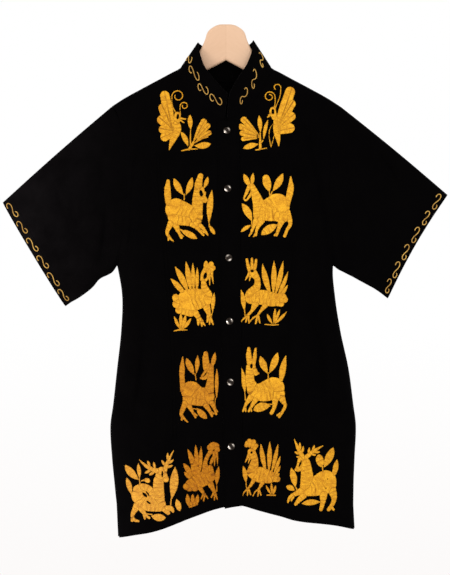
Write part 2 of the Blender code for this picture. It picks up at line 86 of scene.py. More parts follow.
# Body: drop, side seams, depth of front and back.
BODY = mm_rows("""
    60 -250 250 23 20; 180 -240 242 31 28; 280 -226 230 36 33; 370 -206 206 40 37; 428 -193 190 42 40;
    484 -184 193.2 43 42; 548 -186 203.3 44 44; 612 -193 217.2 45 46; 676 -200 225.8 46 47;
    715 -205 230.4 46 48; 772 -202 228 47 49; 836 -196 226.2 47 50; 915 -192 230 47 50
""")
RIGHT_SEAM, LEFT_SEAM, FRONT_DEPTH, BACK_DEPTH = range(1, 5)

# Front hem: share of the way from the middle front to the side seam, drop on the right and left.
HEM = mm_rows("""
    0 852.2 847.8; 0.09 852.8 850.2; 0.18 858 856; 0.3 866.8 863.5; 0.4 874.5 869.3; 0.5 883 876.2;
    0.6 891 880; 0.72 898.5 883.2; 0.86 904.2 888; 1 911 896.5
""", shares=1)
# Back hem: share of the way from the right side seam to the left one, drop.
BACK_HEM = mm_rows("""
    0 911; 0.15 903; 0.35 878; 0.52 863; 0.7 874; 0.87 888; 1 896.5
""", shares=1)
# Hem: how much is turned up, how far it stands out and over what height; then the pull at the sides.
HEM_TURNED = 0.0155
HEM_RISE = 0.0005
HEM_STEP = 0.0015
VENT_DROP = 0.815
VENT_PULL = (0.0035, 0.0030)
VENT_FADE = 0.08

# Middle front, where the snaps sit, and the placket that carries them.
SNAP_DROPS = (0.1920, 0.2948, 0.4162, 0.5273, 0.6335, 0.7458)
MIDDLE_X = 0.0016
MIDDLE_SLANT = 0.0138
PLACKET_TOP_DROP = 0.1745
PLACKET_RIGHT = (0.0175, 0.0130)
PLACKET_LEFT = (0.0215, 0.0185)
PLACKET_BELOW = 0.0022
PLACKET_SLANT = 0.0026

# Pin tucks: four to a band across, two down each front at a distance from the middle for each drop.
TUCK_BANDS = (0.2415, 0.3980, 0.5570, 0.7180)
TUCKS_IN_BAND = 4
TUCK_PITCH = 0.0070
HIGHEST_TUCK = TUCK_BANDS[0] - TUCKS_IN_BAND * TUCK_PITCH / 2
LOWEST_TUCK = TUCK_BANDS[-1] + TUCKS_IN_BAND * TUCK_PITCH / 2
UPRIGHT_TUCKS = 2
UPRIGHT_PITCH = 0.0060
UPRIGHT_LINE = mm_rows("""
    100 131; 250 129; 420 118; 580 108; 950 106
""")
# Least distance of the upright tucks from the outer edge, least share of the width and the width that
# they need in full, how far they run past the bands, and the length over which they fade.
UPRIGHT_EDGE = 0.03
UPRIGHT_LEAST = 0.35
UPRIGHT_ROOM = 0.09
UPRIGHT_ABOVE = 0.016
UPRIGHT_BELOW = 0.004
UPRIGHT_FADE = 0.006
TUCK_END = 0.0245
TUCK_HEIGHT = 0.0010
TUCK_HALF = 0.0015
# Stitch line of a tuck: distance below its ridge, half width, depth.
TUCK_STITCH = (0.0021, 0.0006, 0.00025)
# Rows of the fronts: between two levels of a tuck, and height elsewhere.
TUCK_STEPS = 4
ROW_HEIGHT = 0.0042

# Seam allowances turned in under the body at the neck and armholes.
SEAM_TURNED = 0.004
SEAM_BELOW = 0.0011
NECK_MIDDLE_DROP = 0.040
ARMHOLE_TURNED = 0.0006
BACK_SEAM_BELOW = 0.0009

# Levels of the fronts between the bands: drop at the middle or neck, drop at the side or armhole.
LEVELS_HEM = ((1.0, 1.0), (0.72, 0.70), (0.38, 0.36))
LEVELS_BETWEEN = (
    ((0.675, 0.675), (0.640, 0.640), (0.605, 0.605)),
    ((0.515, 0.515), (0.485, 0.485), (0.455, 0.457), (0.428, 0.428)),
    ((0.355, 0.355), (0.320, 0.320), (0.285, 0.285)),
)
LEVELS_SHOULDER = mm_rows("""
    211 218; 192 208.5; 170 199.5; 167 195.5; 162 191.5; 155 187; 146 182.5; 136 178; 125 173.5; 114 169;
    103 164; 94 159.5; 87.5 155; 83 151; 80.5 148.5; 79.5 147.5
""")

# Sleeves: cuff corners as x, drop.
CUFF_TOP = ((-0.3965, 0.3175), (0.3935, 0.3040))
CUFF_BOTTOM = ((-0.2860, 0.5008), (0.2880, 0.4870))
CUFF_BOW = (0.0010, -0.0062)
CUFF_DEPTH = 0.017
SLEEVE_TOP_RISE = 0.0022
CUFF_POWER = 2.6
UNDERARM_GAP = 0.0016
# Waves of the lower edge: share of the way along, how far below the straight line on the right and left.
SLEEVE_UNDER = mm_rows("""
    0 0 0; 0.08 4.7 1.6; 0.16 3.8 0.8; 0.28 0.2 -0.2; 0.36 -0.2 -1; 0.46 4 -1.4; 0.6 4.8 -2.2; 0.76 3.5 -3;
    0.88 1 -2; 1 0 0
""", shares=1)

# Stand collar: share of the way round from its right front end, seam x and drop, top x, drop and y.
COLLAR = mm_rows("""
    0 -2 170 3 127 -30; 0.06 -16 164.5 -12.5 110.5 -28; 0.12 -33 152.5 -27 93.5 -25;
    0.18 -52 134 -39 75 -20.5; 0.24 -69 106.5 -46 53.5 -14; 0.285 -79 86 -49 37.5 -4.5;
    0.305 -81 78.5 -49 32.2 2; 0.33 -75 83 -46.5 33.8 8.5; 0.37 -60 90 -38 39 12.5; 0.43 -30 97 -19 48 15.5;
    0.5 0 99 0 52 16.5; 0.57 30 97 19 48 15.5; 0.63 60 90 38 36.5 12.5; 0.67 75 83 46 30.5 8.5;
    0.695 81 78.5 48 28.5 2; 0.715 79 86 48 34.5 -4.5; 0.76 69 106.5 45.5 50.5 -14; 0.82 52 134 37 73 -20.5;
    0.88 33 152.5 25 92.5 -25; 0.94 18 163.4 14.5 109.5 -28; 1 1 170 6 127 -30
""", shares=1)
COLLAR_HEIGHT = 0.055
COLLAR_EASE = 0.0011
COLLAR_LIFT = (0.0019, 0.0009)
# Share of the way round from the middle back to where the collar passes to the front.
COLLAR_BACK = 0.195
# Step for the facing of a sleeve or the collar, as a share of its length.
NEAR = 0.002

# Largest folds, then creases: x and drop of both ends, bow to the side, half width, depth.
FRONT_FOLDS = mm_rows("""
    -136 500 -170 735 6 16 9; 142 455 178 730 12 16 9; 134 130 184 425 8 16 6; -176 170 -180 425 -6 14 5;
    -60 560 -110 890 4 26 6; 90 580 120 890 4 26 6
""")
BACK_FOLDS = mm_rows("""
    -150 420 -172 760 8 18 9; 150 420 186 760 10 18 9; -50 520 -80 900 6 30 8; 60 480 85 900 6 30 8;
    168 180 180 410 6 12 6; -164 180 -178 410 -6 12 6
""")
SLEEVE_FOLDS = mm_rows("""
    -205 330 -222 440 4 12 6; 205 330 224 430 -4 12 6; 270 225 310 290 6 9 4.5; -262 240 -300 330 -6 14 4.5
""")
FRONT_CREASES = mm_rows("""
    137 170 187 425 6 5 2.8; 126 150 170 245 -2 4 1.8; 158 300 176 440 4 6 -2.2; 110 395 168 432 4 5 1.6;
    146 470 177 710 10 6 2.6; 165 520 200 790 6 8 -2.4; 128 640 150 850 4 9 2; -150 185 -168 400 -4 5 2.4;
    -130 150 -166 260 4 4.5 1.6; -163 330 -182 445 3 4.5 3; -120 400 -170 440 -4 5 -1.6;
    -139 520 -169 725 4 6 2.8; -152 560 -184 790 5 8 -2.4; -118 620 -140 860 4 9 2;
    -50 735 -72 880 3 10 1.8; 62 740 80 875 -3 9 1.6; -88 110 -130 160 2 6 1; 92 112 126 150 -2 6 1;
    -30 300 -34 385 1 8 0.8; 34 455 38 545 1 8 0.8
""")
BACK_CREASES = mm_rows("""
    -142 160 -176 400 6 5.5 2.6; 140 175 180 420 -5 5.5 2.6; -100 140 -60 330 10 9 1.6;
    90 150 50 380 -12 9 1.8; -120 380 -172 440 4 6 2; 112 400 172 436 -3 6 1.8; -158 470 -180 720 6 7 2.8;
    156 460 196 740 8 7 2.8; -110 500 -130 840 6 11 2.6; -20 470 -12 800 5 12 2.2; 22 600 30 850 -4 9 2;
    110 520 140 850 6 11 2.6; -70 680 -96 890 3 8 -2; 70 660 86 870 3 8 -2; -40 200 -30 420 -4 12 1.2;
    36 260 30 450 4 10 1.2
""")
SLEEVE_CREASES = mm_rows("""
    268 222 312 294 6 4 2.6; 212 300 236 430 -4 5 3; 236 260 296 440 -8 7 2.2; 205 200 222 330 4 6 2;
    300 250 350 360 6 8 -1.6; -210 300 -228 440 4 5 3; -190 330 -206 435 2 4 2.6; -240 262 -292 448 8 7 2.2;
    -206 190 -222 320 -4 6 2; -296 262 -352 372 -6 8 -1.6
""")
# Unevenness of the cloth: lengths of its waves, and their height as a share of that.
CRUMPLE_WAVES = (0.120, 0.075, 0.052, 0.038, 0.027, 0.021)
CRUMPLE_HEIGHT = 0.0030


def smooth(value):
    value = np.clip(value, 0.0, 1.0)
    return value * value * (3 - 2 * value)


def unit(ways):
    return ways / np.linalg.norm(ways, axis=-1, keepdims=True)


def between(start, end, share):
    return start + (end - start) * share


def read(table, column, at, key=0):
    """The table's column at places along its key, on a curve through the rows."""
    rows = np.array([(row[key], row[column]) for row in table], float)
    if rows[0, 0] > rows[-1, 0]:
        rows = rows[::-1]
    keys, values = rows.T
    slopes = np.gradient(values, keys)
    slopes[1:-1] = (values[2:] - values[:-2]) / (keys[2:] - keys[:-2])
    at = np.clip(at, keys[0], keys[-1])
    row = np.clip(np.searchsorted(keys, at, side="left") - 1, 0, len(keys) - 2)
    span = keys[row + 1] - keys[row]
    share = (at - keys[row]) / span
    square, cube = share**2, share**3
    return (
        (2 * cube - 3 * square + 1) * values[row]
        + (cube - 2 * square + share) * slopes[row] * span
        + (3 * square - 2 * cube) * values[row + 1]
        + (cube - square) * slopes[row + 1] * span
    )


def curved(points, steps):
    """A curve through points, with a number of steps between each two."""
    table = np.column_stack([np.arange(len(points)), points])
    fine = np.linspace(0, len(points) - 1, steps * (len(points) - 1) + 1)
    return np.column_stack([read(table, column, fine) for column in range(1, table.shape[1])])


def shoulder_drop(x):
    return read(SHOULDER, 1, np.abs(x))


def middle_x(drop):
    return MIDDLE_X + (drop - SNAP_DROPS[0]) * MIDDLE_SLANT


def fold_depth(folds, x, drop):
    total = np.zeros(np.broadcast(x, drop).shape)
    for start_x, start_drop, end_x, end_drop, bow, width, depth in folds:
        along_x, along_drop = end_x - start_x, end_drop - start_drop
        length = math.hypot(along_x, along_drop)
        share = ((x - start_x) * along_x + (drop - start_drop) * along_drop) / length**2
        inside = np.clip(share, 0, 1)
        off = ((x - start_x) * along_drop - (drop - start_drop) * along_x) / length
        off = off - bow * 4 * inside * (1 - inside)
        total += depth * np.exp(-((off / width) ** 2)) * np.sin(math.pi * inside)
    return total


def crumple(x, drop, seed):
    """Faint unevenness of worn cotton, in metres."""
    maker = np.random.RandomState(seed)
    total = np.zeros(np.broadcast(x, drop).shape)
    for wave in CRUMPLE_WAVES:
        angle, phase = maker.uniform(0, math.pi), maker.uniform(0, 6.28)
        across = x * math.cos(angle) + drop * math.sin(angle)
        bend = np.sin((x * math.sin(angle) - drop * math.cos(angle)) * 2.2 / wave + phase * 2)
        total += wave * CRUMPLE_HEIGHT * np.sin(across * 6.28 / wave + phase + 1.4 * bend)
    return total


def body_depth(x, drop, back=False):
    seam = np.where(x > 0, read(BODY, LEFT_SEAM, drop), read(BODY, RIGHT_SEAM, drop))
    share = np.clip(np.abs(x / seam), 0, 1.0)
    section = (1 - share**SECTION_POWER) ** (1 / SECTION_POWER)
    edge = (1 - share**8) ** 0.125
    fall = np.clip(drop - shoulder_drop(x), 0.0, None)
    turn = SHOULDER_ROUND * np.sqrt(1 - (1 - np.clip(fall / SHOULDER_ROUND, 0, 1.0)) ** 2)
    deep = read(BODY, BACK_DEPTH if back else FRONT_DEPTH, drop)
    lean = smooth((fall - SHOULDER_ROUND * 0.3) / SHOULDER_FALL)
    return turn * edge * (1 - lean) + deep * lean * section


def place(x, y, drop):
    return np.stack(np.broadcast_arrays(x, y, -np.asarray(drop, float)), axis=-1)


def cloth_depth(x, drop, back):
    """Depth of the body's cloth with its folds, creases and unevenness."""
    folds, creases, seed = (BACK_FOLDS, BACK_CREASES, 5) if back else (FRONT_FOLDS, FRONT_CREASES, 3)
    depth = body_depth(x, drop, back)
    trough = fold_depth(folds, x, drop) * smooth(depth / FOLD_FADE)
    fine = fold_depth(creases, x, drop) + crumple(x, drop, seed)
    return depth - trough - fine * smooth((depth - 0.004) / FOLD_FADE)


def front_point(x, drop, out=0.0):
    """A place on the front's inner face, or further out along the depth."""
    return place(x, -cloth_depth(x, drop, False) - GAP / 2 - out, drop)


def back_point(x, drop, out=0.0):
    return place(x, cloth_depth(x, drop, True) + GAP / 2 + out, drop)


def outer_x(side, drop):
    """The panel's outer edge: the armhole, and below it the side seam."""
    arm = read(ARMHOLE, 1 if side < 0 else 2, drop)
    seam = read(BODY, RIGHT_SEAM if side < 0 else LEFT_SEAM, drop)
    return np.where(drop < UNDERARM_DROP, arm, seam)


def hem_drop(side, share):
    return read(HEM, 1 if side < 0 else 2, share)


def finer(values, steps):
    """Each gap between values cut into its number of steps."""
    pieces = [np.linspace(values[i], values[i + 1], steps[i], endpoint=False) for i in range(len(steps))]
    return np.concatenate(pieces + [values[-1:]])


def front_levels(side):
    """Drops at the middle and at the side of every level, hem first."""
    levels = [
        (between(LOWEST_TUCK, hem_drop(side, 0), inner), between(LOWEST_TUCK, hem_drop(side, 1), outer))
        for inner, outer in LEVELS_HEM
    ]
    for band, between_bands in zip(reversed(TUCK_BANDS), (*LEVELS_BETWEEN, LEVELS_SHOULDER)):
        for step in range(2 * TUCKS_IN_BAND + 1):
            levels.append((band + (TUCKS_IN_BAND - step) * TUCK_PITCH / 2,) * 2)
        levels += between_bands
    inner, outer = np.array(levels, float).T
    gaps = np.maximum(np.abs(np.diff(inner)), np.abs(np.diff(outer)))
    in_band = np.abs(gaps - TUCK_PITCH / 2) < 1e-6
    steps = [TUCK_STEPS if tucked else max(1, round(gap / ROW_HEIGHT)) for gap, tucked in zip(gaps, in_band)]
    number = finer(np.arange(len(inner), dtype=float), steps)
    return number, finer(inner, steps), finer(outer, steps)


def tuck_shape(off):
    """Height of a pin tuck at a distance from its ridge, with its stitch line on the lower side."""
    below, half, deep = TUCK_STITCH
    return TUCK_HEIGHT * smooth(1 - np.abs(off) / TUCK_HALF) - deep * np.exp(-(((off - below) / half) ** 2))


def hem_fold(above):
    """Rise of the cloth where the hem is turned up, at a height above its edge."""
    return HEM_RISE * smooth((HEM_TURNED - above) / HEM_STEP)


def front_panel(side):
    """Points of one front as rows of columns, hem first and outer edge first."""
    number, inner_drop, outer_drop = front_levels(side)
    neck_drop, hem_middle = FRONT_NECK[0][1], hem_drop(side, 0)
    low = inner_drop >= FRONT_NECK[-1][1]
    inner = np.where(low, middle_x(inner_drop), side * read(FRONT_NECK, 0, inner_drop, key=1))
    outer = outer_x(side, outer_drop)
    outer = outer - side * VENT_PULL[side > 0] * smooth((outer_drop - VENT_DROP) / VENT_FADE)
    line = inner + side * read(UPRIGHT_LINE, 1, inner_drop)
    past_edge = np.abs(line) > np.abs(outer) - UPRIGHT_EDGE
    line = np.where(past_edge, outer - side * UPRIGHT_EDGE, line)
    line = inner + side * np.maximum(np.abs(line - inner), UPRIGHT_LEAST * np.abs(outer - inner))
    squeeze = np.minimum(1.0, np.abs(line - inner) / UPRIGHT_ROOM)
    start = line - side * (UPRIGHT_TUCKS * UPRIGHT_PITCH * squeeze)
    end = inner + side * TUCK_END * squeeze
    edge = inner + side * GAP / 2
    zones = (
        (outer, line, np.linspace(0, 1, 30, endpoint=False) ** 1.8),
        (line, start, np.linspace(0, 1, 16, endpoint=False)),
        (start, end, np.linspace(0, 1, 24, endpoint=False)),
        (end, edge, np.linspace(0, 1, 9)),
    )
    x = np.concatenate([between(a[:, None], b[:, None], share) for a, b, share in zones], axis=1)
    inner, outer, line, start, end, squeeze, number, inner_drop, outer_drop = (
        value[:, None] for value in (inner, outer, line, start, end, squeeze, number, inner_drop, outer_drop)
    )
    share = (x - inner) / (outer - inner)
    drop = between(inner_drop, outer_drop, share)
    near_top = smooth((HIGHEST_TUCK - inner_drop) / (HIGHEST_TUCK - neck_drop))
    drop = drop + (shoulder_drop(x) - between(neck_drop, TIP_DROP, share)) * near_top**3
    straight = between(hem_middle, hem_drop(side, 1), share)
    drop = drop + (hem_drop(side, share) - straight) * np.maximum(0.0, 1 - number / len(LEVELS_HEM))
    raised = np.zeros_like(x)
    tucked = smooth((side * (start - x)) / 0.002) * smooth(side * (x - end) / 0.002)
    for band in TUCK_BANDS:
        for step in range(TUCKS_IN_BAND):
            raised += tuck_shape(inner_drop - band - (step - (TUCKS_IN_BAND - 1) / 2) * TUCK_PITCH) * tucked
    tall = smooth((inner_drop - TUCK_BANDS[0] + UPRIGHT_ABOVE) / UPRIGHT_FADE)
    tall = tall * smooth((LOWEST_TUCK + UPRIGHT_BELOW - inner_drop) / UPRIGHT_FADE)
    for step in range(UPRIGHT_TUCKS):
        raised += tuck_shape(side * (line - x) / squeeze - (step + 0.5) * UPRIGHT_PITCH) * tall
    raised += hem_fold(hem_drop(side, share) - drop)
    return front_point(x, drop, raised)


def back_panel():
    down = np.linspace(0, 1, 176) ** 1.15
    down = np.concatenate([down[:1], (0.0004, 0.0010, 0.0018), down[1:]])
    half = np.concatenate([np.linspace(0, 1, 47, endpoint=False) ** 1.5 * 0.5, [0.5]])
    shares = np.concatenate([half, 1 - half[-2::-1]])
    lowest = {-1: BACK_HEM[0][1], 1: BACK_HEM[-1][1]}
    ends = [outer_x(side, between(TIP_DROP, drop, down))[:, None] for side, drop in lowest.items()]
    top_x = between(ARMHOLE[0][1], ARMHOLE[0][2], shares)
    in_neck = np.abs(top_x) < BACK_NECK[-1][0]
    top = np.where(in_neck, read(BACK_NECK, 1, np.abs(top_x)), shoulder_drop(top_x))
    hem = read(BACK_HEM, 1, shares)
    level = between(top, hem, down[:, None])
    points = back_point(between(*ends, shares), level, hem_fold(hem - level))
    right, left = points[:, :1].copy(), points[:, -1:].copy()
    for column, side in ((right, -1), (left, 1)):
        below = smooth((-column[..., 2] - UNDERARM_DROP - 0.002) / 0.006)
        column[..., 0] -= side * between(ARMHOLE_TURNED, SEAM_TURNED, below)
        column[..., 1] -= BACK_SEAM_BELOW
    return np.concatenate([right, points, left], axis=1)


def sleeve_point(side, along, down, back):
    """A place on a sleeve's inner face: along from armhole to cuff, down from top to underarm."""
    top, bottom = np.array(CUFF_TOP[side > 0]), np.array(CUFF_BOTTOM[side > 0])
    out = 1 if back else -1
    drop = between(TIP_DROP, UNDERARM_DROP, down)
    x = outer_x(side, drop)
    depth = body_depth(x, drop, back)
    trough = fold_depth(BACK_FOLDS if back else FRONT_FOLDS, x, drop) * smooth(depth / FOLD_FADE)
    start = place(x, (depth - trough + GAP / 2) * out * ((down > 0) & (down < 1)), drop)
    line = bottom - top
    bow = CUFF_BOW[side > 0] * 4 * down * (1 - down) * side / math.hypot(*line)
    bulge = CUFF_DEPTH * (1 - np.abs(2 * down - 1) ** CUFF_POWER) ** (1 / CUFF_POWER)
    end = place(top[0] + line[0] * down + line[1] * bow, bulge * out, top[1] + line[1] * down - line[0] * bow)
    start = start + unit(end - start) * (ARMHOLE_GAP + UNDERARM_GAP * smooth((down - 0.7) / 0.3))[..., None]
    along = np.asarray(along)
    point = between(start, end, along[..., None])
    point[..., 2] += SLEEVE_TOP_RISE * np.sin(math.pi * along) * (1 - down) ** 2
    point[..., 2] -= read(SLEEVE_UNDER, 1 if side < 0 else 2, along) * np.clip(down, 0, 1) ** 5
    x, drop, thick = point[..., 0], -point[..., 2], np.abs(point[..., 1])
    press = fold_depth(SLEEVE_FOLDS, x, drop) * smooth(thick / 0.01)
    fine = fold_depth(SLEEVE_CREASES, x, drop) + crumple(x, drop, 8)
    fine = fine * smooth((thick - 0.002) / 0.012) * smooth(along / 0.12)
    point[..., 1] -= np.sign(point[..., 1]) * (press + fine)
    return point


def turned_in(x, drop, behind):
    """A seam allowance under the body's cloth, at the back by a share of it."""
    front_y = front_point(x, drop, -SEAM_BELOW)[:, 1]
    back_y = back_point(x, drop, -SEAM_BELOW)[:, 1]
    return place(x, between(front_y, back_y, behind), drop)


def sleeve_rings(side):
    """Rings of points from just inside the armhole out to the cuff."""
    half = 0.5 - 0.5 * np.cos(np.linspace(0, math.pi, 64))
    along = np.concatenate([[0.0], np.linspace(0, 1, 62)])
    halves = [
        sleeve_point(side, *np.meshgrid(along, down, indexing="ij"), back)
        for down, back in ((half, False), (half[-2:0:-1], True))
    ]
    rings = np.concatenate(halves, axis=1)
    x, drop = rings[0, :, 0] - side * SEAM_TURNED, -rings[0, :, 2]
    rings[0] = turned_in(x, drop, np.arange(len(drop)) >= len(half))
    return rings


def collar_behind(around):
    """How far a place round the collar belongs to the back, from 0 to 1."""
    return smooth((COLLAR_BACK - np.abs(around - 0.5)) / 0.02 + 0.5)


def collar_point(around, up):
    """A place on the band's inner face: round from its right front end, up from the neck seam."""
    seam_x, seam_drop, top_x, top_drop, top_y = (read(COLLAR, column, around) for column in range(1, 6))
    behind = collar_behind(around)
    front = -body_depth(seam_x, seam_drop) - GAP / 2
    back = body_depth(seam_x, seam_drop, True) + GAP / 2
    seam = place(seam_x, between(front, back, behind), seam_drop)
    top = place(top_x, top_y, top_drop)
    seam = seam + unit(top - seam) * between(*COLLAR_LIFT, behind)[..., None]
    seam[..., 0] -= np.sign(seam_x) * COLLAR_EASE * (1 - behind) * smooth(np.abs(seam_x) / 0.03)
    return between(seam, top, np.asarray(up)[..., None])


def collar_rows(around, ups):
    """Rows of the band from its seam allowance, turned in under the body, up to its top edge."""
    rows = [collar_point(around, np.full(len(around), up)) for up in ups]
    seam_x, seam_drop = read(COLLAR, 1, around), read(COLLAR, 2, around)
    away = np.stack([seam_x, seam_drop - NECK_MIDDLE_DROP])
    away /= np.hypot(*away)
    x, drop = seam_x + away[0] * SEAM_TURNED, seam_drop + away[1] * SEAM_TURNED
    return np.stack([turned_in(x, drop, collar_behind(around)), *rows])


def on_collar(around, up, out):
    here = collar_point(around, up)
    ends = [collar_point(np.clip(around + step, 0, 1), up) for step in (NEAR, -NEAR)]
    facing = np.cross(collar_point(around, up + NEAR) - collar_point(around, up - NEAR), ends[0] - ends[1])
    return here + unit(facing) * out, facing


def on_sleeve(side, along, down, back, out):
    here = sleeve_point(side, along, down, back)
    ahead = sleeve_point(side, along + NEAR, down, back) - sleeve_point(side, along - NEAR, down, back)
    ends = [sleeve_point(side, along, np.clip(down + step, 0.001, 0.999), back) for step in (-NEAR, NEAR)]
    facing = np.cross(ahead, ends[0] - ends[1]) * (1 if (side > 0) != back else -1)
    return here + unit(facing) * out, facing


